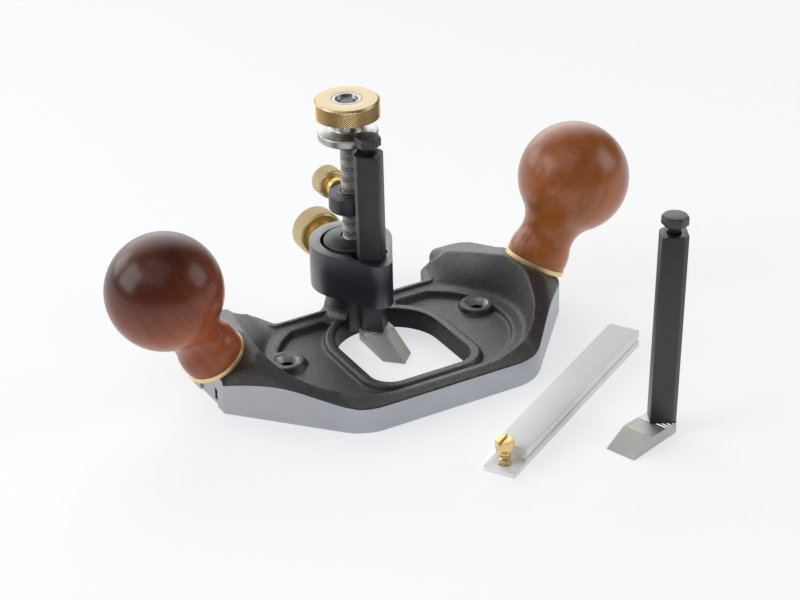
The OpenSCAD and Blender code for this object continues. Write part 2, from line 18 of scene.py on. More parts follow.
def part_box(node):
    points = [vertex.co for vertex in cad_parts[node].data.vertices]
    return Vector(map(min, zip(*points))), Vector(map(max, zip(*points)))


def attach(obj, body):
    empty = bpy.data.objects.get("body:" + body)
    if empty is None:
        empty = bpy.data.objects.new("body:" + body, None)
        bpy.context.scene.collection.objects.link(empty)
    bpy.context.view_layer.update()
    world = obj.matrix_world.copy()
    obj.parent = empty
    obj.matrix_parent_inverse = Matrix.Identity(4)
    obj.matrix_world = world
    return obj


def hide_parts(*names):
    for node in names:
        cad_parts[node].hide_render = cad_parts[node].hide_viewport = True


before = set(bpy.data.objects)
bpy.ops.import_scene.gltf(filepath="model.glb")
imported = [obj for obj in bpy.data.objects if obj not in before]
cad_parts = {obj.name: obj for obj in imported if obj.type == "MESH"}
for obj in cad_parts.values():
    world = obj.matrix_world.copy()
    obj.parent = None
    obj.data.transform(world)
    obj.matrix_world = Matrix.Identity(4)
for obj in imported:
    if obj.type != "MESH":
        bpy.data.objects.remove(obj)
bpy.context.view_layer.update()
scene = bpy.context.scene
MM = 0.001

# %% [markdown]
# ## Camera
# The tool is seen from the front left and from above, with a long lens. The
# camera's place and its three directions were fitted to the two knobs, the two
# screw holes and the sides of the base. Blender's camera looks along its own -Z,
# so its matrix is made of right, up and minus forward.

# %% Place the camera
STANDPOINT = Vector((-436.7, -806.7, 529.7))
FOCAL_PX, WIDTH_PX, SENSOR = 2362.27, 800, 36
camera = bpy.data.objects.new("camera", bpy.data.cameras.new("camera"))
scene.collection.objects.link(camera)
right = Vector((0.86865, -0.49485, -0.02425))
up = Vector((0.25722, 0.40868, 0.87564))
forward = Vector((0.42344, 0.76686, -0.48236))
turn = Matrix((right, up, -forward)).transposed()
camera.matrix_world = Matrix.Translation(STANDPOINT * MM) @ turn.to_4x4()
camera.data.sensor_fit = "HORIZONTAL"
camera.data.sensor_width = SENSOR
camera.data.lens = FOCAL_PX / WIDTH_PX * SENSOR
camera.data.clip_end = 20
scene.camera = camera
print("lens: %.1f mm" % camera.data.lens)

# %% [markdown]
# ## Node sums in Python
# A finish is a tree of nodes. Wiring each Math node by hand hides the idea, so a
# small class wraps a socket and lets Python's own operators add the Math nodes.
# The reflected forms make 1 - mask work as well. Every other node comes from one
# method, which takes its type, the values of its sockets, and its settings.

# %% Define finishes
class Wire:
    """A socket of a node tree that can stand in a Python sum."""

    def __init__(self, owner, socket):
        self.owner = owner
        self.socket = socket

    def then(self, operation, other=0.0, swapped=False):
        first, second = (other, self) if swapped else (self, other)
        return self.owner.add("ShaderNodeMath", {0: first, 1: second}, {"operation": operation})

    def __add__(self, other):
        return self.then("ADD", other)

    def __sub__(self, other):
        return self.then("SUBTRACT", other)

    def __rsub__(self, other):
        return self.then("SUBTRACT", other, True)

    def __mul__(self, other):
        return self.then("MULTIPLY", other)

    def __truediv__(self, other):
        return self.then("DIVIDE", other)

    def __rtruediv__(self, other):
        return self.then("DIVIDE", other, True)

    __radd__ = __add__
    __rmul__ = __mul__


class Tree:
    """A node tree that is built one expression at a time."""

    def add(self, kind, sockets, settings=None, out=0):
        node = self.tree.nodes.new(kind)
        for key, value in (settings or {}).items():
            setattr(node, key, value)
        for key, value in sockets.items():
            if isinstance(value, Wire):
                self.tree.links.new(value.socket, node.inputs[key])
            else:
                node.inputs[key].default_value = value
        return Wire(self, node.outputs[out])


class Finish(Tree):
    """A material with one Principled shader."""

    def __init__(self, name, **fixed):
        self.material = bpy.data.materials.new(name)
        self.material.use_nodes = True
        self.tree = self.material.node_tree
        self.shader = self.tree.nodes["Principled BSDF"]
        for socket, value in fixed.items():
            self.shader.inputs[socket.replace("_", " ")].default_value = value
        self.place = self.add("ShaderNodeTexCoord", {}, out="Object")

    def noise(self, scale, detail=3, place=None, rough=0.5):
        return self.add("ShaderNodeTexNoise", {
            "Vector": place or self.place, "Scale": scale, "Detail": detail, "Roughness": rough})

    def mapped(self, kind="POINT", **sockets):
        return self.add("ShaderNodeMapping", {"Vector": self.place, **sockets},
                        {"vector_type": kind})

    def grey(self, value, low, high, to_low=0, to_high=1):
        return self.add("ShaderNodeMapRange", {0: value, 1: low, 2: high, 3: to_low, 4: to_high})

    def mix(self, mask, first, second):
        return self.add("ShaderNodeMix", {0: mask, 6: first, 7: second}, {"data_type": "RGBA"}, 2)

    def bump(self, height, distance, strength):
        return self.add("ShaderNodeBump", {
            "Height": height, "Distance": distance, "Strength": strength})

    def give(self, **sockets):
        for key, wire in sockets.items():
            self.tree.links.new(wire.socket, self.shader.inputs[key.replace("_", " ")])


print("finish tools ready")

# %% [markdown]
# ## Black cast paint and ground iron
# The base is cast, painted with a textured black, and then its sides are ground
# bare. The paint has fine bumps about half a millimetre across, whose tops carry
# painted glints. The mouth's walls and the screw bores get a darker copy of the
# paint, as painted shade. The ground sides show the faint long scratches of the
# belt. One function makes all finishes of two tones and a fine grain, here and for
# the other metals below.

# %% Casting finishes
def cast_paint(name, glint_fleck, shine):
    """Textured black paint, with painted glints of that colour on the tops of its grain."""
    paint = Finish(name, Specular_IOR_Level=shine)
    grain = paint.noise(1700, 2, rough=0.6)
    coarse = paint.noise(620, 2)
    tone = paint.mix(paint.noise(45, 2), (0.005, 0.005, 0.006, 1), (0.009, 0.009, 0.010, 1))
    # Painted glints: the tops of the grain take the lighter glint colour.
    paint.give(Base_Color=paint.mix(paint.grey(grain, 0.49, 0.66), tone, glint_fleck),
               Roughness=paint.grey(coarse, 0.3, 0.7, 0.32, 0.46),
               Normal=paint.bump(grain * 0.8 + coarse * 0.3, 0.0003, 0.85))
    return paint


paint = cast_paint("black_cast_paint", (0.056, 0.057, 0.063, 1), 0.9)
# A darker copy of the paint with little shine: painted shade for the mouth's walls and the screw
# bores.
shaded_wall_paint = cast_paint("black_wall_painted_shade", (0.012, 0.012, 0.014, 1), 0.2)


def mottled(name, patches, dark, light, grain, rough, bump=(0, 0), stretch=None, spread=(0, 1),
            **fixed):
    """A finish of two tones in soft patches, with a fine grain that blurs its shine.

    Patches and grain are the scale and detail of a noise, and the grain's noise can
    be stretched by a mapping.
    """
    coat = Finish(name, **fixed)
    patch = coat.grey(coat.noise(*patches), *spread)
    fine = coat.noise(*grain, coat.mapped(**stretch) if stretch else None)
    coat.give(Base_Color=coat.mix(patch, dark, light), Roughness=coat.grey(fine, 0.3, 0.7, *rough),
              Normal=coat.bump(fine, *bump))
    return coat


ground = mottled("ground_iron", (60, 3), (0.39, 0.40, 0.43, 1), (0.47, 0.48, 0.515, 1), (1600, 3),
                 (0.334, 0.446), (0.00002, 0.5), {"Scale": (0.06, 0.06, 1)}, Metallic=1.0)
bore = mottled("machined_bore", (900, 2), (0.42, 0.42, 0.43, 1), (0.60, 0.60, 0.61, 1), (900, 2),
               (0.5, 0.62), Metallic=1.0)
satin_black = mottled("satin_black", (260, 3), (0.012, 0.012, 0.014, 1), (0.022, 0.022, 0.025, 1),
                      (2400, 2), (0.3, 0.42), (0.00002, 0.35), Specular_IOR_Level=0.5)
print("casting finishes made")

# %% [markdown]
# ## Mesh tools
# Most small parts of this tool were turned in a lathe, so their meshes are too:
# a profile of radius and height is carried round an axis. A sharp corner on real
# metal is never quite sharp, and the small rounding is what catches the light,
# so a helper eases the corners of each profile first.

# %% Define the lathe tools
def eased(points, size):
    """The same line of points with each inner corner replaced by a small arc."""
    out = [points[0]]
    for before, corner, after in zip(points, points[1:], points[2:]):
        a, b, c = (np.array(p, float) for p in (before, corner, after))
        reach_in = min(size, np.linalg.norm(a - b) * 0.45)
        reach_out = min(size, np.linalg.norm(c - b) * 0.45)
        start = b + (a - b) / np.linalg.norm(a - b) * reach_in
        end = b + (c - b) / np.linalg.norm(c - b) * reach_out
        for t in (0, 1 / 3, 2 / 3, 1):
            out.append(tuple((1 - t) ** 2 * start + 2 * t * (1 - t) * b + t * t * end))
    return out + [points[-1]]


def close_prism(mesh, first, last):
    """Faces on and between two triangles of points."""
    mesh.faces.new(first)
    mesh.faces.new(last)
    for a, b in ((0, 1), (1, 2), (2, 0)):
        mesh.faces.new((first[a], first[b], last[b], last[a]))


def turned(profile, place, axis=(0, 0, 1), segments=96):
    """A lathe shape: (radius, height) pairs in millimetres, carried round an axis."""
    mesh = bmesh.new()
    rows = []
    for radius, height in profile:
        if radius < 1e-6:
            rows.append([mesh.verts.new((0, 0, height))] * segments)
        else:
            rows.append([mesh.verts.new((radius * math.cos(a), radius * math.sin(a), height))
                         for a in np.arange(segments) * 2 * math.pi / segments])
    for low, high in zip(rows, rows[1:]):
        for i in range(segments):
            j = (i + 1) % segments
            corners = list(dict.fromkeys((low[i], low[j], high[j], high[i])))
            if len(corners) > 2:
                mesh.faces.new(corners)
    stand = Vector((0, 0, 1)).rotation_difference(Vector(axis)).to_matrix().to_4x4()
    mesh.transform(Matrix.Scale(MM, 4) @ Matrix.Translation(Vector(place)) @ stand)
    bmesh.ops.recalc_face_normals(mesh, faces=mesh.faces)
    return mesh


print("lathe tools ready")

# %% [markdown]
# A finished piece gets its finishes, its shading, the body it rides on and the
# solids it stands for in one place. Where a solid has the right form already, the
# piece is a copy of it with softened edges.

# %% Define the piece tools
def blank_object(name, mesh, finishes=()):
    """An object of that mesh, for further work."""
    data = bpy.data.meshes.new(name)
    mesh.to_mesh(data)
    mesh.free()
    for finish in finishes:
        data.materials.append(finish.material)
    blank = bpy.data.objects.new(name, data)
    scene.collection.objects.link(blank)
    return blank


def settle(name, mesh, finishes, body, stands_for, sharp):
    """Makes a finished piece of a mesh, and lets it ride on its body."""
    if isinstance(mesh, bmesh.types.BMesh):
        piece = blank_object(name, mesh)
    else:
        mesh.name = name
        piece = bpy.data.objects.new(name, mesh)
        scene.collection.objects.link(piece)
    data = piece.data
    if not data.materials:
        for finish in finishes:
            data.materials.append(finish.material)
    data.polygons.foreach_set("use_smooth", [True] * len(data.polygons))
    data.set_sharp_from_angle(angle=math.radians(sharp))
    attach(piece, body)
    if stands_for:
        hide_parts(*stands_for)
    print(name, len(data.polygons), "faces")
    return piece


def solid_copy(node):
    """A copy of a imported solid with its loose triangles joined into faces."""
    mesh = bmesh.new()
    mesh.from_mesh(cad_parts[node].data)
    bmesh.ops.remove_doubles(mesh, verts=mesh.verts, dist=1e-6)
    bmesh.ops.dissolve_limit(mesh, angle_limit=math.radians(0.5), verts=mesh.verts,
                             edges=mesh.edges)
    return mesh


def edge_softened(mesh, width, angle=30, segments=2):
    """The mesh with its sharp edges rounded by a bevel of that width in millimetres."""
    blank = blank_object("softened", mesh)
    bevel = blank.modifiers.new("edges", "BEVEL")
    bevel.width = width * MM
    bevel.segments = segments
    bevel.limit_method = "ANGLE"
    bevel.angle_limit = math.radians(angle)
    return plain_mesh(blank)


def plain_mesh(blank):
    """The evaluated mesh of an object, which is then removed."""
    depsgraph = bpy.context.evaluated_depsgraph_get()
    data = bpy.data.meshes.new_from_object(blank.evaluated_get(depsgraph))
    bpy.data.objects.remove(blank)
    return data


print("piece tools ready")

# %% [markdown]
# ## The casting's upper side
# The upper side of the base is one flowing surface: wings that rise to the knob
# seats, a round scoop in each wing, a shelf, sunk pockets and a lip round the
# mouth. Each is a simple formula for a height. A smooth minimum or maximum joins
# two heights with a rounded edge, as a foundry pattern does, so one function gives
# the height of the whole top.

# %% Plan of the base
HOLE_X, HOLE_BOSS = 48.6, 7.8
POST_Y, POST_R, FLARE_R = 27.2, 13.0, 18.0
BOSS_R, BOSS_FILLET = 13.6, 4.5
SHELF, RIM = 9.0, 10.5
BACK_Y, BACK_RIM_Y, WING_BACK = 31.0, 27.2, 51.5
MOUTH_X, MOUTH_FRONT, MOUTH_BACK = 24.3, -41.8, 18.6
FRONT_CORNER, BACK_CORNER, LIP = 10.0, 23.8, 4.4
SCOOP_X, SCOOP_Y, SCOOP_R = 18.0, -11.0, 42.2
POCKET_R, POCKET_BACK, POCKET_DEPTH = 36.3, 21.0, 2.3
SEAT = np.array((80.9, 3.0, 18.9))
TILT = math.radians(29)


def corner_arc(a, b, c, r):
    """Points of the rounded corner at b on the way from a to c."""
    a, b, c = (np.array(p, float) for p in (a, b, c))
    u, v = (a - b) / np.linalg.norm(a - b), (c - b) / np.linalg.norm(c - b)
    half = math.acos(np.clip(u @ v, -1, 1)) / 2
    steps = max(6, int(1.6 * r))
    centre = b + (u + v) / np.linalg.norm(u + v) * r / math.sin(half)
    start = b + u * r / math.tan(half) - centre
    bend = (math.pi - 2 * half) * (1 if u[0] * v[1] - u[1] * v[0] < 0 else -1)
    return [centre + (start[0] * math.cos(t) - start[1] * math.sin(t),
                      start[0] * math.sin(t) + start[1] * math.cos(t))
            for t in bend * np.arange(steps + 1) / steps]


def rounded(points, radii):
    """A closed line through the points, with each corner rounded by its radius."""
    n = len(points)
    return [p for i in range(n)
            for p in corner_arc(points[i - 1], points[i], points[(i + 1) % n], radii[i])]


def base_outline():
    """The plan of the base: both sides, and the boss of the post between them."""
    side = [(42.5, -60), (85.5, -12), (85.5, 20), (72, WING_BACK), (52.5, WING_BACK),
            (50.7, 42), (43, 42), (38.5, BACK_Y)]
    radii = [22, 2, 8, 14, 4, 1.5, 3, 2]
    line = rounded(side + [(-x, y) for x, y in side[::-1]], radii + radii[::-1])
    half = len(line) // 2
    reach = BOSS_R + BOSS_FILLET
    lift = math.asin((BACK_Y + BOSS_FILLET - POST_Y) / reach)
    hollow = [np.array((reach * math.cos(lift) + BOSS_FILLET * math.cos(t),
                        BACK_Y + BOSS_FILLET + BOSS_FILLET * math.sin(t)))
              for t in np.linspace(1.5 * math.pi, math.pi + lift, 9)]
    boss = [np.array((BOSS_R * math.cos(t), POST_Y + BOSS_R * math.sin(t)))
            for t in np.linspace(lift, math.pi - lift, 40)]
    far_hollow = [p * (-1, 1) for p in hollow[::-1]]
    return line[:half] + hollow + boss[1:-1] + far_hollow + line[half:]


print("outline points:", len(base_outline()))

# %% [markdown]
# A smooth minimum rounds the edge where two heights cross, and a smooth maximum
# fills a corner. Other helpers say how far a point is from an edge, and whether it
# lies inside a closed line.

# %% Soft joins and distances
def soft_min(a, b, k):
    """The lesser of two heights, rounded over about k where they cross."""
    h = np.clip(0.5 + 0.5 * (b - a) / k, 0, 1)
    return b * (1 - h) + a * h - k * h * (1 - h)


def soft_max(a, b, k):
    return -soft_min(-a, -b, k)


def ramp_up(t, k):
    """Zero below t = 0 and t above it, with a soft knee."""
    return 0.5 * (t + np.sqrt(t * t + k * k))


def step(t):
    """A smooth step from 0 to 1 as t goes from 0 to 1."""
    t = np.clip(t, 0, 1)
    return t * t * (3 - 2 * t)


def quarter_round(distance, r):
    """How far an edge of that radius has dropped at a distance in from it."""
    gap = r - np.clip(distance, 0, r)
    return r - np.sqrt(np.maximum(r * r - gap * gap, 0))


def line_distance(x, y, line):
    """Distance from each point to the nearest place of a closed line."""
    best = np.full(x.shape, 1e9)
    for a, b in zip(line, line[1:] + line[:1]):
        dx, dy = b[0] - a[0], b[1] - a[1]
        t = np.clip(((x - a[0]) * dx + (y - a[1]) * dy) / max(dx * dx + dy * dy, 1e-12), 0, 1)
        best = np.minimum(best, np.hypot(x - a[0] - t * dx, y - a[1] - t * dy))
    return best


def inside(x, y, line):
    """True where a point lies inside a closed line, by counting crossings."""
    crossed = np.zeros(x.shape, bool)
    for a, b in zip(line, line[1:] + line[:1]):
        if a[1] != b[1]:
            at = a[0] + (y - a[1]) * (b[0] - a[0]) / (b[1] - a[1])
            crossed ^= ((y < a[1]) != (y < b[1])) & (x < at)
    return crossed


print("two equal heights of 1 mm join at %.3f mm" % soft_min(1.0, 1.0, 0.5))

# %% [markdown]
# The wings come first, then all that is sunk or raised between them. The numbers
# are heights and slopes of this casting, in millimetres.

# %% Heights of the deck
def mouth_distance(x, y):
    """Distance to the edge of the mouth, less than zero inside it."""
    middle, half = (MOUTH_FRONT + MOUTH_BACK) / 2, (MOUTH_BACK - MOUTH_FRONT) / 2
    corner = np.where(y > middle, BACK_CORNER, FRONT_CORNER)
    qx = np.abs(x) - MOUTH_X + corner
    qy = np.abs(y - middle) - half + corner
    outside = np.hypot(np.maximum(qx, 0), np.maximum(qy, 0))
    return np.minimum(np.maximum(qx, qy), 0) + outside - corner


def wing_height(side, y, edge):
    """Height of a wing, from the distances to the middle line and to the outline.

    It slopes up from the front, falls to the back, rises from the deck, and is cut
    by the plane of the knob seat, which keeps a round table of its own.
    """
    near = step((-15 - y) / 25)
    bank = 0.25 * np.clip(edge, 0, 8) * near
    slope = 12.2 + 0.261 * ramp_up(y + 54, 3) + 0.2 * np.clip(edge, 0, 12)
    fall = 12.9 + 0.301 * (WING_BACK - y)
    climb = 1 - np.cos(np.pi * np.clip((side - 43) / 19, 0, 1))
    rise = RIM + 1.7 * near + bank + 9.45 * climb
    seat = SEAT[2] - math.tan(TILT) * (side - SEAT[0])
    wing = soft_min(soft_min(soft_min(slope, fall, 3), rise, 1.6), seat, 0.8)
    front = 17.4 - 0.0092 * np.maximum(side - 66, 0) ** 2 + 1.1 * edge
    back = 11.8 + 0.9 * edge
    wing = np.where(y < 3, soft_min(wing, front, 1.5), wing)
    wing = np.where(y > 12, soft_min(wing, back + 4 * step((22 - y) / 10), 1.5), wing)
    about_seat = np.hypot((side - SEAT[0]) / math.cos(TILT), y - SEAT[1])
    wing = soft_max(wing, seat - 3 * ramp_up(about_seat - 15.2, 0.4), 0.4)
    return wing - quarter_round(edge, np.where(y > 21, 2.4, 0.4))


def deck_height(x, y):
    """Height of the casting's top: wings, scoops, shelf, pockets, lip and flare."""
    side = np.abs(x)
    edge = line_distance(x, y, base_outline())
    reach = np.hypot(np.maximum(side - SCOOP_X, 0), y - SCOOP_Y)
    mouth = mouth_distance(x, y)
    hole = np.hypot(side - HOLE_X, y)
    post = np.hypot(x, y - POST_Y)
    steep = 0.2 + 2.3 * (1 - step(((y - SCOOP_Y) / np.maximum(reach, 1) - 0.1) / 0.85))
    scoop = SHELF + steep * ramp_up(reach - SCOOP_R, 1.2)
    back = SHELF + 4.0 * ramp_up(y - BACK_RIM_Y - 14 * step((side - 40) / 10), 0.7)
    top = soft_min(wing_height(side, y, edge), soft_max(scoop, back, 0.8), 0.9)
    pocket = np.maximum.reduce([reach - POCKET_R, LIP - mouth, HOLE_BOSS - hole,
                                y - POCKET_BACK, FLARE_R - post])
    top = top - POCKET_DEPTH * step(0.25 - pocket / 1.6)
    top = top + 0.4 * step((5.2 - mouth) / 2.2) - quarter_round(mouth, 0.8)
    hollow = FLARE_R - POST_R
    sunk = np.clip(FLARE_R - post, 0, hollow)
    flare = SHELF + hollow - np.sqrt(np.maximum(hollow ** 2 - sunk ** 2, 0))
    behind = soft_max(RIM - quarter_round(edge, 2.4), flare, 0.6)
    top = np.where((y > BACK_Y) & (side < 30), behind, top)
    return np.where(post < FLARE_R + 1, soft_max(top, flare, 0.6), top)


print("seat height: %.1f mm" % deck_height(SEAT[:1], SEAT[1:2])[0])

# %% [markdown]
# ## Meshing the casting
# A plain grid would cut the long slanting edges into stairs. So the points follow
# the shape instead: rings run along the outline and round the mouth, a loose grid
# covers the calm areas, and a fine grid is kept only where the height bends. A
# Delaunay triangulation joins them, and straight walls go down to the sole.

# %% Spread the points
def closed_run(line, gap):
    """The closed line with points no further apart than the gap."""
    out = []
    for a, b in zip(line, line[1:] + line[:1]):
        count = max(1, int(np.ceil(np.linalg.norm(b - a) / gap)))
        out += [a + (b - a) * i / count for i in range(count)]
    return [p for i, p in enumerate(out) if np.linalg.norm(p - out[i - 1]) > 0.05]


def ring_points(line, distance):
    """Points beside a closed line, on its left, dropped where they crowd a corner."""
    pts = np.array(line)
    along = np.roll(pts, -1, 0) - np.roll(pts, 1, 0)
    along /= np.linalg.norm(along, axis=1)[:, None]
    moved = pts + np.stack([-along[:, 1], along[:, 0]], 1) * distance
    return moved[line_distance(moved[:, 0], moved[:, 1], line) > abs(distance) * 0.93]


def grid_points(pitch, loose, outline):
    """A grid inside the outline: fine where the height bends, and loose elsewhere."""
    xs = np.arange(-86, 86, pitch)
    ys = np.arange(-61, 53, pitch)
    gx, gy = np.meshgrid(xs, ys)
    gz = deck_height(gx, gy)
    bend = np.zeros_like(gz)
    bend[1:-1] = np.abs(gz[2:] - 2 * gz[1:-1] + gz[:-2])
    bend[:, 1:-1] += np.abs(gz[:, 2:] - 2 * gz[:, 1:-1] + gz[:, :-2])
    calm = (np.arange(len(ys)) % loose == 0)[:, None] & (np.arange(len(xs)) % loose == 0)[None]
    keep = (bend > 0.03) | calm
    keep &= inside(gx, gy, outline) & (line_distance(gx, gy, outline) > 2.7)
    keep &= mouth_distance(gx, gy) > 1.6
    return np.stack([gx[keep], gy[keep]], 1)


print("point tools ready")

# %% [markdown]
# The outline and the edge of the mouth stay edges of the triangulation. Triangles
# outside the outline or in the mouth are dropped.

# %% Triangulate the top
LINE_GAP, GRID_GAP, CALM = 0.7, 0.42, 4
mouth_corners = [(-MOUTH_X, MOUTH_FRONT), (MOUTH_X, MOUTH_FRONT),
                 (MOUTH_X, MOUTH_BACK), (-MOUTH_X, MOUTH_BACK)]
corner_radii = [FRONT_CORNER, FRONT_CORNER, BACK_CORNER, BACK_CORNER]
outline = closed_run(base_outline(), LINE_GAP)
mouth_ring = closed_run(rounded(mouth_corners, corner_radii), LINE_GAP)
points = [np.array(outline), np.array(mouth_ring)]
points += [ring_points(outline, d) for d in (0.12, 0.4, 0.85, 1.4, 2.05)]
points += [ring_points(mouth_ring, -d) for d in (0.1, 0.3, 0.6, 0.95, 1.3)]
points.append(grid_points(GRID_GAP, CALM, outline))
n, m = len(outline), len(mouth_ring)
loops = [(i, (i + 1) % n) for i in range(n)] + [(n + i, n + (i + 1) % m) for i in range(m)]
flat = delaunay_2d_cdt([Vector(p) for p in np.concatenate(points)], loops, [], 0, 1e-6, False)
plan = np.array([tuple(p) for p in flat[0]])
mid_x, mid_y = np.array([plan[list(face)].mean(0) for face in flat[2]]).T
solid = inside(mid_x, mid_y, outline) & (mouth_distance(mid_x, mid_y) > 0)
kept = [face for face, full in zip(flat[2], solid) if full]
heights = deck_height(*plan.T)
print("points:", len(plan), "triangles on top:", len(kept))

# %% [markdown]
# The walls are painted behind and in the mouth, and ground bare at the front and
# the ends, so every wall is given its finish as it is made. The sole is ground too.

# %% Walls and sole
CASTING = (paint, ground, shaded_wall_paint, bore)
PAINT, GROUND, SHADED_WALL, BORE = range(len(CASTING))
GROUND_BACK = 20.5
base = bmesh.new()
top = [base.verts.new((x * MM, y * MM, z * MM)) for (x, y), z in zip(plan, heights)]
for face in kept:
    base.faces.new([top[i] for i in face])
rim = [edge for edge in base.edges if len(edge.link_faces) == 1]
waist = {v: base.verts.new((v.co.x, v.co.y, v.co.z - MM)) for edge in rim for v in edge.verts}
foot = {v: base.verts.new((v.co.x, v.co.y, 0)) for edge in rim for v in edge.verts}
for edge in rim:
    a, b = edge.verts
    middle = (a.co + b.co) / 2 / MM
    in_mouth = mouth_distance(middle.x, middle.y) < 0.5
    # Mouth walls take the darker paint, as painted shade.
    finish = SHADED_WALL if in_mouth else PAINT if middle.y > GROUND_BACK else GROUND
    for corners in ((a, b, waist[b], waist[a]), (waist[a], waist[b], foot[b], foot[a])):
        base.faces.new(corners).material_index = finish
lower = [base.edges.get((foot[edge.verts[0]], foot[edge.verts[1]])) for edge in rim]
sole = bmesh.ops.triangle_fill(base, use_beauty=True, edges=lower)
for face in sole["geom"]:
    if isinstance(face, bmesh.types.BMFace):
        face.material_index = GROUND
loose_points = [v for v in base.verts if not v.link_faces]
bmesh.ops.delete(base, geom=loose_points, context="VERTS")
bmesh.ops.recalc_face_normals(base, faces=base.faces)


def cut_away(blank, tool):
    """Takes the tool's shape out of the blank, and drops the tool."""
    boolean = blank.modifiers.new("cut", "BOOLEAN")
    boolean.operation = "DIFFERENCE"
    boolean.solver = "EXACT"
    boolean.use_self = True
    boolean.object = tool
    depsgraph = bpy.context.evaluated_depsgraph_get()
    data = bpy.data.meshes.new_from_object(blank.evaluated_get(depsgraph))
    blank.modifiers.clear()
    blank.data = data
    bpy.data.objects.remove(tool)


casting = blank_object("casting", base, CASTING)
print("casting:", len(casting.data.polygons), "faces")

# %% [markdown]
# The two screw holes, the milled flat and the slot in each end are sharp machined
# cuts, so they come last, as they do in the shop. The edges where bare iron meets
# paint are marked sharp, because the grinder leaves them so.

# %% Drill and mill
HOLE_PROFILE = [(0, -2), (2.5, -2), (2.5, 6.6), (4.9, 9.0), (6.9, 11.0), (0, 11.0)]
END_FLAT = ((87.25, 3.0, 4.0), (5.5, 18.0, 10.0))
END_SLOT = ((81.55, -4.0, 4.6), (6.1, 5.4, 5.2))
END_X, CONE_Z = 70, 6.8
drills = bmesh.new()
for sign in (-1, 1):
    hole = turned(HOLE_PROFILE, (sign * HOLE_X, 0, 0.1), segments=48)
    scrap = bpy.data.meshes.new("scrap")
    hole.to_mesh(scrap)
    hole.free()
    drills.from_mesh(scrap)
    for (x, y, z), size in (END_FLAT, END_SLOT):
        centre = Matrix.Translation(Vector((sign * x, y, z)) * MM)
        bmesh.ops.create_cube(drills, size=MM, matrix=centre @ Matrix.Diagonal((*size, 1)))
bmesh.ops.recalc_face_normals(drills, faces=drills.faces)
for face in drills.faces:
    middle = face.calc_center_median() / MM
    # Bore walls below the countersink take the darker paint, as painted shade.
    face.material_index = GROUND if abs(middle.x) > END_X else BORE if middle.z > CONE_Z else SHADED_WALL
cut_away(casting, blank_object("drills", drills, CASTING))
base_piece = settle("base_casting", casting.data.copy(), CASTING, "plane", ["body_casting"],
                    50)
seams = bmesh.new()
seams.from_mesh(base_piece.data)
for edge in seams.edges:
    finishes = sorted({face.material_index for face in edge.link_faces})
    if finishes in ([PAINT, GROUND], [GROUND, SHADED_WALL]):
        edge.smooth = False
seams.to_mesh(base_piece.data)
seams.free()
bpy.data.objects.remove(casting)

# %% [markdown]
# ## The post
# The post is cast with the base but machined round, with a right-angled notch in
# front that guides the back corner of the cutter's shank. A lathe shape with its
# notch cut out by a wedge is all it needs, as the flare at its foot is already
# part of the deck.

# %% Turn the post
POST_TOP, POST_EDGE, POST_BARE = 43.0, 1.5, 41.5
NOTCH_Y, WEDGE = 10, 20
post_profile = [(0, 3), (POST_R, 3)]
post_profile += [(POST_R - POST_EDGE * (1 - math.cos(t)), POST_TOP + POST_EDGE * math.sin(t))
                 for t in np.linspace(0, 1.25, 7)]
post_profile += [(9.0, 45.0), (6.4, 45.4), (5.2, 45.5), (4.8, 44.9), (0, 44.9)]
POST = (paint, satin_black)
post = blank_object("post_blank", turned(post_profile, (0, POST_Y, 0), segments=128), POST)
wedge = bmesh.new()
tip, far = POST_Y - NOTCH_Y, POST_Y - NOTCH_Y - WEDGE
corners = [[wedge.verts.new((x * MM, y * MM, z * MM))
            for x, y in ((0, tip), (-WEDGE, far), (WEDGE, far))] for z in (-5, 60)]
close_prism(wedge, *corners)
bmesh.ops.recalc_face_normals(wedge, faces=wedge.faces)
cut_away(post, blank_object("wedge", wedge, POST))
for face in post.data.polygons:
    face.material_index = 1 if face.center.z > POST_BARE * MM else 0
settle("post", post.data.copy(), POST, "plane", ["body_casting"], 30)
bpy.data.objects.remove(post)

# %% [markdown]
# ## Wood
# The knobs are turned from red-brown hardwood with the grain along the knob.
# Wavy bands across the board give the broad figure, stretched noise the fine
# fibres, and a clear coat the soft shine. Each knob has its own piece of wood, so
# its seed and its colours, low and high on the knob, are given one by one. The high
# colours darken the upper ball, partly as the wood's own colour and partly as painted
# shade, and the low colours are partly painted floor light.

# %% Wood finish
def knob_wood(name, sign, light, dark, shaded_top_light, shaded_top_dark, seed, gloss, blur):
    wood = Finish(name, Specular_IOR_Level=0.1, Coat_Roughness=blur, Coat_Weight=gloss)
    lean = wood.mapped("TEXTURE", Location=tuple(SEAT * (sign * MM, MM, MM)),
                       Rotation=(0, sign * TILT, 0))
    wavy = wood.mapped(Vector=lean, Location=(seed, 0.3, 0.1), Scale=(1, 1, 0.22))
    drift = wood.noise(34, 2, wavy)
    board = wood.add("ShaderNodeSeparateXYZ", {"Vector": lean}, out="X")
    up_knob = wood.add("ShaderNodeSeparateXYZ", {"Vector": lean}, out="Z")
    rings = ((board + drift * 0.03) * 700).then("SINE")
    fine = ((board + drift * 0.05) * 3100).then("SINE")
    fibre = wood.noise(1000, 4, wood.mapped(Vector=lean, Scale=(1, 1, 0.03)), 0.65)
    band = wood.grey(rings * 0.07 + fine * 0.07 + drift * 1.3 + fibre * 0.7, 0.5, 1.5)
    # Painted shade: toward the top of the ball the wood blends into the darker high colours.
    height = wood.grey(up_knob + drift * 0.02, 0.044, 0.072)
    tint = wood.mix(height, wood.mix(band, dark, light), wood.mix(band, shaded_top_dark, shaded_top_light))
    wood.give(Base_Color=tint, Roughness=wood.grey(fibre, 0.3, 0.7, 0.34, 0.44),
              Normal=wood.bump(fibre, 0.00004, 0.3))
    return wood


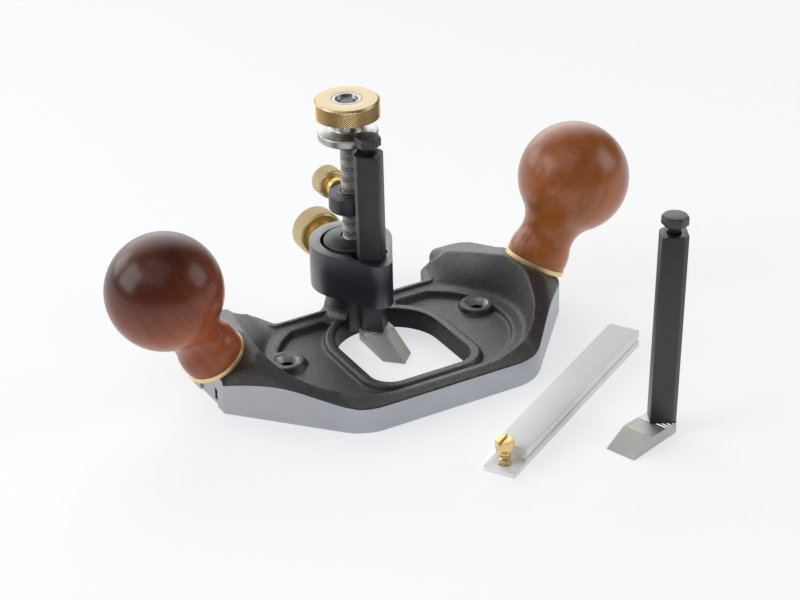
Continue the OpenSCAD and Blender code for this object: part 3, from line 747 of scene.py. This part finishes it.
# The high colours are partly painted shade, and the low colours are partly painted floor light.
wood_left = knob_wood("wood_left", -1, (0.52, 0.135, 0.046, 1), (0.17, 0.036, 0.014, 1),
                      (0.125, 0.027, 0.011, 1), (0.034, 0.007, 0.004, 1), 0.2, 0.6, 0.22)
wood_right = knob_wood("wood_right", 1, (0.58, 0.180, 0.042, 1), (0.25, 0.064, 0.015, 1),
                       (0.50, 0.150, 0.036, 1), (0.21, 0.052, 0.013, 1), 0.7, 0.9, 0.27)
print("wood finishes made")

# %% [markdown]
# ## Knobs
# Each knob is a ball on a waisted neck. Three circles make its profile: a gently
# swelling foot, a hollow neck that touches it, and the ball that the neck runs
# into. Where two circles touch, the tangent is shared, so the curve has no kink.

# %% Turn the knobs
BALL_R, BALL_H, NECK_R, NECK_H = 25.4, 44.3, 12.4, 15.5
FOOT_R, FOOT_H, FERRULE, FERRULE_R = 14.0, 5.5, 2.4, 14.3
neck_arc = (NECK_R ** 2 + (BALL_H - NECK_H) ** 2 - BALL_R ** 2) / (2 * (BALL_R - NECK_R))
inset = NECK_R + neck_arc - FOOT_R
foot_arc = (inset ** 2 + (NECK_H - FOOT_H) ** 2 - neck_arc ** 2) / (2 * (neck_arc - inset))


def circle_run(centre, r, start, end, steps):
    return [(centre[0] + r * math.cos(t), centre[1] + r * math.sin(t))
            for t in np.linspace(start, end, steps)]


def knob_profile():
    """Foot, neck and ball, joined where their circles touch."""
    neck, foot, ball = (NECK_R + neck_arc, NECK_H), (FOOT_R - foot_arc, FOOT_H), (0, BALL_H)
    touch_foot = math.atan2(neck[1] - foot[1], neck[0] - foot[0])
    touch_ball = math.atan2(neck[1] - ball[1], neck[0] - ball[0])
    run = circle_run(foot, foot_arc, math.asin((FERRULE - FOOT_H) / foot_arc), touch_foot, 14)
    run += circle_run(neck, neck_arc, touch_foot + math.pi, touch_ball + math.pi, 22)[1:]
    run += circle_run(ball, BALL_R, touch_ball, math.pi / 2, 40)[1:-1]
    return [(0, FERRULE), (run[0][0] - 0.5, FERRULE)] + run + [(0, BALL_H + BALL_R)]


def on_seat(profile, sign):
    """A lathe shape that stands on the left (-1) or right (1) knob seat."""
    axis = (sign * math.sin(TILT), 0, math.cos(TILT))
    return turned(profile, SEAT * (sign, 1, 1), axis, 128)


for side, sign, wood in (("left", -1, wood_left), ("right", 1, wood_right)):
    settle(side + "_wood_knob", on_seat(knob_profile(), sign), (wood,), "plane", [side + "_knob"],
           60)

# %% [markdown]
# ## Brass
# Ferrules, wheel and thumb screws are brass. Handling leaves faint cloudy stains,
# so roughness and colour follow two noises of very different size. Knurls and
# threads get painted shade in their cuts and a painted highlight on their crests,
# so their colour follows the distance from the axis.

# %% Brass finish
def brass_finish(name, bright, dull, polish):
    brass = Finish(name, Metallic=0.9)
    cloud = brass.noise(160, 3)
    fine = brass.noise(2600, 2)
    brass.give(Base_Color=brass.mix(brass.grey(cloud, 0.3, 0.7), dull, bright),
               Roughness=brass.grey(cloud * 0.6 + fine * 0.4, 0.3, 0.7, polish, polish + 0.12),
               Normal=brass.bump(fine, 0.00001, 0.3))
    return brass


brass = brass_finish("brass", (0.86, 0.65, 0.30, 1), (0.76, 0.54, 0.22, 1), 0.30)
ferrule_brass = brass_finish("ferrule_brass", (0.88, 0.71, 0.40, 1), (0.80, 0.62, 0.32, 1), 0.42)
# A darker copy of the brass for the wheel, as painted shade against the strong back light on its
# top.
shaded_wheel_brass = brass_finish("shaded_wheel_brass", (0.50, 0.405, 0.265, 1), (0.46, 0.365, 0.225, 1), 0.3)


def shaded_by_radius(name, keep, shift, low, high, cut_shade, tip_highlight, rough, bare=1.0):
    """Metal with painted shade in its cuts and a painted highlight on its crests, by radius from
    an axis.
    """
    metal = Finish(name, Metallic=bare)
    across = metal.mapped(Scale=keep, Location=tuple(MM * c for c in shift))
    radius = metal.add("ShaderNodeVectorMath", {0: across}, {"operation": "LENGTH"}, "Value")
    height = metal.grey(radius, low * MM, high * MM)
    dirt = metal.noise(300, 3)
    metal.give(Base_Color=metal.mix(height, cut_shade, tip_highlight),
               Roughness=metal.grey(dirt, 0.3, 0.7, rough, rough + 0.12))
    return metal


# Painted shade for the cuts and painted highlights for the crests of knurls and threads.
BRASS_ROOT_SHADE, BRASS_CREST_HIGHLIGHT = (0.33, 0.22, 0.085, 1), (0.98, 0.80, 0.45, 1)
PALE_ROOT_SHADE, PALE_CREST_HIGHLIGHT = (0.62, 0.46, 0.20, 1), (1.0, 0.93, 0.68, 1)

for side, sign in (("left", -1), ("right", 1)):
    ring = eased([(0, 0), (FERRULE_R, 0), (FERRULE_R, FERRULE), (0, FERRULE)], 0.3)
    settle(side + "_brass_ferrule", on_seat(ring, sign), (ferrule_brass,), "plane",
           [side + "_ferrule"], 40)

# %% [markdown]
# ## Knurling and threads by Geometry Nodes
# A knurl is a field of tiny pyramids wrapped round a rim, and a thread is one
# ridge that follows a helix. Both follow a rule, so Geometry Nodes make them from
# a few named sizes. Instances are realised at the end, because an exported model
# keeps only real faces.

# %% Define a recipe
class Recipe(Tree):
    """A Geometry Nodes tree with named inputs."""

    def __init__(self, name, inputs):
        self.tree = bpy.data.node_groups.new(name, "GeometryNodeTree")
        face = self.tree.interface
        face.new_socket("Geometry", in_out="OUTPUT", socket_type="NodeSocketGeometry")
        self.keys = {}
        for label, kind in inputs:
            item = face.new_socket(label, in_out="INPUT", socket_type="NodeSocket" + kind)
            self.keys[label] = item.identifier
        self.start = self.tree.nodes.new("NodeGroupInput")

    def given(self, *labels):
        return [Wire(self, self.start.outputs[label]) for label in labels]

    def done(self, shape):
        """Places the shape, makes its instances real, and gives it its finish."""
        place, turn, finish = self.given("Place", "Turn", "Finish")
        moved = self.add("GeometryNodeTransform", {
            "Geometry": shape, "Translation": place, "Rotation": turn})
        real = self.add("GeometryNodeRealizeInstances", {"Geometry": moved})
        dressed = self.add("GeometryNodeSetMaterial", {"Geometry": real, "Material": finish})
        end = self.tree.nodes.new("NodeGroupOutput")
        self.tree.links.new(dressed.socket, end.inputs["Geometry"])

    def make(self, **sizes):
        """Runs the tree with those sizes, and returns its mesh."""
        blank = bpy.data.objects.new(self.tree.name, bpy.data.meshes.new(self.tree.name))
        scene.collection.objects.link(blank)
        modifier = blank.modifiers.new("recipe", "NODES")
        modifier.node_group = self.tree
        for label, value in sizes.items():
            modifier[self.keys[label]] = value
        return plain_mesh(blank)


print("recipe class ready")

# %% [markdown]
# The knurl's points are numbered along its rows and round the rim. Every second row
# is moved by half a step, and a small cone with four sides stands on each point. The
# thread carries a section with four corners along a spiral of one radius.

# %% Build the two trees
UPRIGHT, BACKWARD = (0, 0, 0), (-math.pi / 2, 0, 0)
PLACED = [("Place", "Vector"), ("Turn", "Vector"), ("Finish", "Material")]
knurl = Recipe("knurl", [("Radius", "Float"), ("Length", "Float"), ("Columns", "Int"),
                         ("Rows", "Int"), ("Depth", "Float")] + PLACED)
radius, length, columns, rows, depth = knurl.given("Radius", "Length", "Columns", "Rows", "Depth")
order = knurl.add("GeometryNodeInputIndex", {})
row = (order / columns).then("FLOOR")
column = order - row * columns
stagger = row.then("MODULO", 2.0) * 0.5
angle = (column + stagger) / columns * (2 * math.pi)
pitch = length / rows
spot = knurl.add("ShaderNodeCombineXYZ", {
    0: radius * angle.then("COSINE"), 1: radius * angle.then("SINE"), 2: (row + 0.5) * pitch})
spots = knurl.add("GeometryNodePoints", {"Count": columns * rows, "Position": spot})
half_width = radius * math.pi / columns
tooth = knurl.add("GeometryNodeMeshCone", {
    "Vertices": 4, "Radius Top": 0.12, "Radius Bottom": 1.0, "Depth": 1.0}, {"fill_type": "NGON"})
teeth = knurl.add("GeometryNodeInstanceOnPoints", {
    "Points": spots, "Instance": tooth,
    "Rotation": knurl.add("ShaderNodeCombineXYZ", {0: 0.0, 1: math.pi / 2, 2: angle}),
    "Scale": knurl.add("ShaderNodeCombineXYZ", {0: pitch, 1: half_width, 2: depth})})
knurl.done(teeth)

thread = Recipe("thread", [
    ("Radius", "Float"), ("Pitch", "Float"), ("Turns", "Float")] + PLACED)
radius, turns, pitch = thread.given("Radius", "Turns", "Pitch")
helix = thread.add("GeometryNodeCurveSpiral", {
    "Resolution": 22, "Rotations": turns, "Start Radius": radius, "End Radius": radius,
    "Height": turns * pitch})
ridge = thread.add("GeometryNodeCurvePrimitiveCircle", {"Resolution": 4, "Radius": pitch * 0.5})
thread.done(thread.add("GeometryNodeCurveToMesh", {
    "Curve": helix, "Profile Curve": ridge, "Fill Caps": True}))
KNURL_DEPTH, KNURL_PITCH = 0.42, 1.05
print("trees: knurl and thread")

# %% [markdown]
# Each knurl has a finish of its own, because its painted shade and highlight
# follow the distance from its own axis. The wheel stands upright, and the thumb
# screws lie backward.

# %% Define knurled and threaded pieces
def knurled(name, radius, length, place, turn, body):
    """A knurled brass band round an axis, from the place of its first row of teeth."""
    # Each knurl's tones are painted shade in its cuts and a painted highlight on its crests.
    if turn == UPRIGHT:
        keep, shift, painted_tones = (1, 1, 0), (0, -place[1], 0), (BRASS_ROOT_SHADE, BRASS_CREST_HIGHLIGHT, 0.3, 1.0)
    else:
        keep, shift, painted_tones = (1, 0, 1), (0, 0, -place[2]), (PALE_ROOT_SHADE, PALE_CREST_HIGHLIGHT, 0.3, 0.15)
    finish = shaded_by_radius(name, keep, shift, radius - KNURL_DEPTH, radius - 0.05, *painted_tones)
    mesh = knurl.make(
        Radius=(radius - KNURL_DEPTH) * MM, Length=length * MM, Depth=KNURL_DEPTH * MM,
        Columns=int(round(2 * math.pi * radius / KNURL_PITCH)),
        Rows=int(round(length / (KNURL_PITCH * 0.5))),
        Place=tuple(MM * c for c in place), Turn=turn, Finish=finish.material)
    settle(name, mesh, (finish,), body, (), 20)


def threaded(name, radius, pitch, length, place, finish, body):
    """An upright screw thread of that outside radius, wound on from its place."""
    mesh = thread.make(Radius=(radius - pitch * 0.5) * MM, Pitch=pitch * MM, Turns=length / pitch,
                       Place=tuple(MM * c for c in place), Turn=UPRIGHT, Finish=finish.material)
    settle(name, mesh, (finish,), body, (), 30)


print("knurl: %.2f mm deep, %.2f mm apart" % (KNURL_DEPTH, KNURL_PITCH))

# %% [markdown]
# ## Depth wheel, nut and rod
# The brass wheel turns a steel nut with a broad flange, and the flange lifts the
# cutter under the head of its bolt. The rod they ride on has a fine bright thread.

# %% Steel finishes
steel = mottled("bright_steel", (220, 3), (0.36, 0.36, 0.36, 1), (0.50, 0.50, 0.50, 1), (1500, 2),
                (0.26, 0.4), (0.00001, 0.4), {"Scale": (0.15, 0.15, 1)}, Metallic=1.0)
# Painted shade at the root of the rod's thread and a painted highlight on its crest.
thread_steel = shaded_by_radius("thread_steel", (1, 1, 0), (0, -POST_Y, 0), 3.5, 3.95,
                       (0.26, 0.26, 0.26, 1), (0.52, 0.52, 0.51, 1), 0.58)
black = mottled("black_steel", (260, 3), (0.009, 0.010, 0.0135, 1), (0.017, 0.0185, 0.024, 1),
                (2400, 2), (0.34, 0.46), (0.00002, 0.35), spread=(0.3, 0.7),
                Specular_IOR_Level=0.7)
navy = mottled("collar_black", (120, 3), (0.006, 0.009, 0.020, 1), (0.011, 0.014, 0.030, 1),
               (2600, 2), (0.30, 0.40), (0.00002, 0.35), Specular_IOR_Level=1.0,
               Coat_Weight=0.5, Coat_Roughness=0.32)
print("steel finishes made")

# %% Turn the adjuster
FLANGE_Z, WHEEL_Z, WHEEL_TOP, WHEEL_R = 93.55, 103.55, 112.15, 14.7
ROD_R, ROD_FOOT, ROD_PITCH, ROD_LENGTH = 4.0, 18.5, 1.0, 92.0
rod_axis = (0, POST_Y, 0)
rim_r = WHEEL_R - KNURL_DEPTH
wheel = eased([(6.8, WHEEL_Z), (12.6, WHEEL_Z), (rim_r, WHEEL_Z + 0.8), (rim_r, WHEEL_TOP - 0.9),
               (13.6, WHEEL_TOP), (6.8, WHEEL_TOP), (6.8, WHEEL_Z)], 0.12)
settle("brass_wheel", turned(wheel, rod_axis, segments=160), (shaded_wheel_brass,), "adjuster",
       ["depth_wheel"], 30)
knurled("brass_wheel_knurl", WHEEL_R, WHEEL_TOP - WHEEL_Z - 1.7, (0, POST_Y, WHEEL_Z + 0.8),
        UPRIGHT, "adjuster")
nut = eased([(4.05, FLANGE_Z), (12.9, FLANGE_Z), (13.4, FLANGE_Z + 0.5), (13.4, FLANGE_Z + 3.3),
             (12.9, FLANGE_Z + 3.8), (8.6, FLANGE_Z + 3.8), (7.2, FLANGE_Z + 4.6),
             (6.75, FLANGE_Z + 5.2), (6.75, WHEEL_TOP - 0.25), (6.5, WHEEL_TOP),
             (5.2, WHEEL_TOP), (4.7, WHEEL_TOP - 1.8), (4.05, WHEEL_TOP - 1.8),
             (4.05, FLANGE_Z)], 0.25)
settle("flanged_nut", turned(nut, rod_axis, segments=128), (steel,), "adjuster", ["wheel_nut"],
       30)
rod = eased([(0, ROD_FOOT), (3.45, ROD_FOOT), (3.45, 110.3), (2.9, 111.0), (0, 111.0)], 0.1)
settle("rod_core", turned(rod, rod_axis, segments=48), (thread_steel,), "plane", ["adjuster_rod"],
       30)
threaded("rod_thread", ROD_R, ROD_PITCH, ROD_LENGTH, (0, POST_Y, ROD_FOOT), thread_steel, "plane")

# %% [markdown]
# ## Collar, thumb screws and depth stop
# The collar is a solid block shaped like an egg, and its solid already has the
# right form, so a copy with rounded edges is enough. The thumb screws are lathe
# shapes with a knurled band, lying along the tool's middle line.

# %% Clamp and stop
settle("collar", edge_softened(solid_copy("clamp_collar"), 0.6, 35, 3), (navy,), "collar",
       ["clamp_collar"], 40)


def thumb_screw(name, node, body, tip, height, screw, shoulder, head):
    """A brass thumb screw along +Y from its tip, of three (radius, length) steps."""
    (screw_r, screw_l), (neck_r, neck_l), (head_r, head_l) = screw, shoulder, head
    start, end = screw_l + neck_l, screw_l + neck_l + head_l
    band_r = head_r - KNURL_DEPTH
    profile = eased([
        (0, 0), (screw_r - 0.8, 0), (screw_r - 0.4, 0.5), (screw_r - 0.4, screw_l),
        (neck_r - 0.4, screw_l), (neck_r, screw_l + 0.5), (neck_r, start - 1.2),
        (neck_r - 0.8, start), (band_r - 0.7, start), (band_r, start + 0.8), (band_r, end - 0.8),
        (band_r - 0.7, end), (0, end)], 0.15)
    settle(name, turned(profile, (0, tip, height), (0, 1, 0), 96), (brass,), body, [node],
           30)
    knurled(name + "_knurl", head_r, head_l - 1.6, (0, tip + start + 0.8, height), BACKWARD, body)


thumb_screw("brass_clamp_screw", "clamp_screw", "clamp_thumbscrew", POST_Y + POST_R + 0.1, 32.5,
            (3.0, 8.3), (7.0, 8.0), (11.0, 10.0))
thumb_screw("brass_stop_screw", "stop_screw", "stop_thumbscrew", POST_Y + 4.1, 63.65,
            (2.5, 7.15), (4.5, 4.7), (7.0, 9.0))
ring = eased([(4.06, 59.3), (9.4, 59.3), (9.75, 59.7), (9.75, 66.4), (9.1, 67.3), (7.0, 67.4),
              (6.6, 68.0), (4.6, 68.0), (4.06, 67.5), (4.06, 59.3)], 0.2)
settle("stop_collar", turned(ring, rod_axis, segments=96), (black,), "stop", ["stop_ring"],
       30)

# %% [markdown]
# ## Cutters
# A cutter is a black square shank with two corners taken off, a ground steel foot
# and a bolt on top. The solids have these flat faces already, so each piece is a
# copy with a fine bevel on its edges. A rule moves a few points first: the foot is
# a little thinner, and the spear longer. The ground foot has straight grinding
# marks and the warm tint that heat leaves on tool steel, and fine ridges across
# its top beside the shank.

# %% Cutter finishes
tool = mottled("ground_tool_steel", (90, 2), (0.50, 0.505, 0.52, 1), (0.58, 0.56, 0.52, 1),
               (2200, 3), (0.46, 0.58), (0.00001, 0.3),
               {"Rotation": (0, 0, 0.6), "Scale": (0.08, 1, 0.3)}, (0.35, 0.65), Metallic=0.85)
cut_steel = mottled("fresh_cut_steel", (700, 2), (0.70, 0.70, 0.68, 1), (0.84, 0.84, 0.82, 1),
                    (700, 2), (0.34, 0.46), Metallic=1.0)
print("cutter finishes made")

# %% Shape the cutters
SHANK_FACE, FOOT_HALF, FOOT_TOP, LOWER = 8.06, 7.2, 7.4, 1.0
SPEAR_TOP, SPEAR_TIP, EDGE_UP = 3.4, 2.2, 1.2
RIDGES = (-6.0, -4.4, -2.8, -1.2)
RIDGE_SECTION = ((-0.4, -0.1), (-0.05, 0.28), (0.4, -0.1))


def reshaped(node, place, rule):
    """A copy of a solid whose points are moved by a rule in the cutter's own frame."""
    mesh = solid_copy(node)
    home = Matrix.Scale(MM, 4) @ place
    mesh.transform(home.inverted())
    for v in mesh.verts:
        v.co += Vector(rule(*v.co))
    mesh.transform(home)
    return mesh


def shank_rule(x, y, z):
    """The shank reaches down to the lowered foot."""
    return (0, 0, -LOWER if z < FOOT_TOP + 0.1 else 0)


def straight_rule(x, y, z):
    """The top of the foot is lowered."""
    return (0, 0, -LOWER if z > FOOT_TOP - 0.1 else 0)


def spear_rule(x, y, z):
    """The top is lowered too, and its bevels and the point move forward."""
    if z > FOOT_TOP - 0.1:
        return (0, -SPEAR_TOP if y < 0.5 and math.hypot(x, y) > 3 else 0, -LOWER)
    return (0, -SPEAR_TIP if y < -12 else 0, 0)


def serrations(kind, place, body):
    """Fine ridges across the top of the foot, on both sides of the shank."""
    mesh = bmesh.new()
    top = FOOT_TOP - LOWER
    for sign in (-1, 1):
        for y in RIDGES:
            ends = (min(SHANK_FACE + y, 6.6) - 0.3, FOOT_HALF)
            rows = [[mesh.verts.new((sign * x, y + a, top + h)) for a, h in RIDGE_SECTION]
                    for x in ends]
            close_prism(mesh, *rows)
    mesh.transform(Matrix.Scale(MM, 4) @ place)
    bmesh.ops.recalc_face_normals(mesh, faces=mesh.faces)
    settle(kind + "_foot_serrations", mesh, (cut_steel,), body, (), 20)


print("ridges beside a shank:", 2 * len(RIDGES))

# %% [markdown]
# One cutter stands in the notch of the post. The spare stands on the bench beside
# the fence, turned and leaning a little. The same steps make both.

# %% Set both cutters in place
SPARE_AT, SPARE_TURN, SPARE_LEAN, SPARE_REACH = (39.7, -128.4, 0), -72, -3, 28
BOLT_SCALE = (0.9, 0.9, 0.96, 1)
shank_low, shank_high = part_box("cutter_shank")
in_post = Matrix.Translation((0, (shank_low[1] + shank_high[1]) / 2 / MM, EDGE_UP))
on_bench = (Matrix.Translation(SPARE_AT) @ Matrix.Rotation(math.radians(SPARE_TURN), 4, "Z")
            @ Matrix.Rotation(math.radians(SPARE_LEAN), 4, "X")
            @ Matrix.Translation((0, SPARE_REACH, 0)))
for kind, body, place, foot_rule in (("cutter", "cutter", in_post, spear_rule),
                                     ("spare", "spare_cutter", on_bench, straight_rule)):
    shank = edge_softened(reshaped(kind + "_shank", place, shank_rule), 0.25)
    settle(kind + "_square_shank", shank, (black,), body, [kind + "_shank"], 30)
    foot = edge_softened(reshaped(kind + "_blade", place, foot_rule), 0.08, 20)
    settle(kind + "_ground_foot", foot, (tool,), body, [kind + "_blade"], 20)
    serrations(kind, place, body)
    bolt = solid_copy(kind + "_bolt")
    low, high = (Vector(corner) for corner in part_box(kind + "_bolt"))
    middle = Matrix.Translation(((low.x + high.x) / 2, (low.y + high.y) / 2, low.z))
    bolt.transform(middle @ Matrix.Diagonal(BOLT_SCALE) @ middle.inverted())
    settle(kind + "_hex_bolt", edge_softened(bolt, 0.3), (black,), body, [kind + "_bolt"],
           30)

# %% [markdown]
# ## Fence
# The fence is a drawn aluminium bar with a groove along its side and a thin tongue
# for its brass screw. Drawing leaves faint lines along the bar, so the noise of its
# shine is stretched that way.

# %% Fence pieces
ALONG_BAR = math.radians(30.8)
drawn = {"kind": "TEXTURE", "Rotation": (0, 0, ALONG_BAR), "Scale": (20, 1, 1)}
alu = mottled("satin_aluminium", (50, 2), (0.88, 0.89, 0.90, 1), (0.92, 0.93, 0.94, 1), (1400, 3),
              (0.54, 0.64), (0.000004, 0.4), drawn, Metallic=0.1)
settle("fence_rail", edge_softened(solid_copy("fence_bar"), 0.25), (alu,), "fence", ["fence_bar"],
       30)
settle("fence_brass_screw", edge_softened(solid_copy("fence_screw"), 0.2), (brass,), "fence",
       ["fence_screw"], 30)
SCREW_AT, SCREW_R, SCREW_PITCH, SCREW_LENGTH = (-6.28, -112.18, 2.9), 2.6, 1.15, 7.2
# Painted shade at the root of the fence screw's thread and a painted highlight on its crest.
screw_brass = shaded_by_radius("fence_thread_brass", (1, 1, 0), (-SCREW_AT[0], -SCREW_AT[1], 0),
                      SCREW_R - 0.5, SCREW_R, BRASS_ROOT_SHADE, BRASS_CREST_HIGHLIGHT, 0.3)
threaded("fence_screw_thread", SCREW_R, SCREW_PITCH, SCREW_LENGTH, SCREW_AT, screw_brass, "fence")

# %% [markdown]
# ## Hidden pieces
# Studs and blade screws keep their solids. They are out of sight, and only need
# a finish for when the tool is taken apart.

# %% Dress the hidden solids
for node, finish in (("left_knob_stud", steel), ("right_knob_stud", steel),
                     ("cutter_blade_screw", black), ("spare_blade_screw", black)):
    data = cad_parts[node].data
    data.materials.clear()
    data.materials.append(finish.material)
print("hidden solids dressed")

# %% [markdown]
# ## Stage and light
# The tool stands on a white floor under large soft lamps. The floor gives part of
# its light by itself, so the background stays even while the shadow shows.

# %% Lay the floor
floor_mesh = bmesh.new()
bmesh.ops.create_grid(floor_mesh, x_segments=1, y_segments=1, size=6)
white = Finish("white_floor", Base_Color=(0.925, 0.905, 0.875, 1), Roughness=0.9,
               Specular_IOR_Level=0.1)
glow = white.add("ShaderNodeEmission", {"Color": (0.945, 0.968, 1, 1), "Strength": 1.27})
shade = Wire(white, white.shader.outputs[0])
both = white.add("ShaderNodeMixShader", {0: 0.5, 1: shade, 2: glow})
white.tree.links.new(both.socket, white.tree.nodes["Material Output"].inputs["Surface"])
floor = blank_object("floor", floor_mesh, (white,))
floor.location.z = -0.0002
print("floor laid")

# %% [markdown]
# Four square lamps stand round the tool, all at one distance. Each is given a glow,
# so that a lamp made larger keeps its brightness where the metal mirrors it.

# %% Hang the lamps
CENTRE, LAMP_FAR = Vector((0, 0, 0.06)), 1.4


def softbox(name, way, size, glow):
    """A square lamp in that direction, as bright as the glow says for its size."""
    light = bpy.data.lights.new(name, "AREA")
    light.shape = "RECTANGLE"
    light.size, light.size_y = size, size
    light.energy = glow * math.pi * size * size
    holder = bpy.data.objects.new(name, light)
    holder.location = Vector(way).normalized() * LAMP_FAR + CENTRE
    holder.rotation_euler = (CENTRE - holder.location).to_track_quat("-Z", "Y").to_euler()
    scene.collection.objects.link(holder)


softbox("left_softbox", (-0.82, 0.27, 0.48), 0.9, 3.2)
softbox("top_softbox", (-0.42, -0.25, 0.87), 1.2, 0.8)
softbox("back_left_softbox", (-0.49, 0.82, 0.30), 0.6, 2.5)
softbox("right_softbox", (0.78, -0.43, 0.46), 0.8, 2.2)
print("lamps hung")

# %% [markdown]
# The surroundings are bright behind the tool alone: flat tops mirror that light to
# the camera, and steep walls stay dark. The camera itself sees an even white.

# %% Light the surroundings
BRIGHT_WAY, SEEN_WHITE = (0.25, 0.90, 0.35), 0.94
BRIGHT_SPREAD = {1: 0.68, 2: 0.96, 3: 0.08, 4: 2.2}
world = bpy.data.worlds.new("studio")
world.use_nodes = True
studio = Tree()
studio.tree = world.node_tree
way = studio.add("ShaderNodeTexCoord", {}, out="Generated")
toward = studio.add("ShaderNodeVectorMath", {0: way, 1: BRIGHT_WAY},
                    {"operation": "DOT_PRODUCT"}, "Value")
spread = studio.add("ShaderNodeMapRange", {0: toward, **BRIGHT_SPREAD})
seen = studio.add("ShaderNodeLightPath", {}, out="Is Camera Ray")
strength = studio.add("ShaderNodeMix", {0: seen, 2: spread, 3: SEEN_WHITE})
background = world.node_tree.nodes["Background"]
background.inputs["Color"].default_value = (1, 1, 1, 1)
world.node_tree.links.new(strength.socket, background.inputs["Strength"])
scene.world = world
scene.view_settings.view_transform = "Standard"
print("stage set")
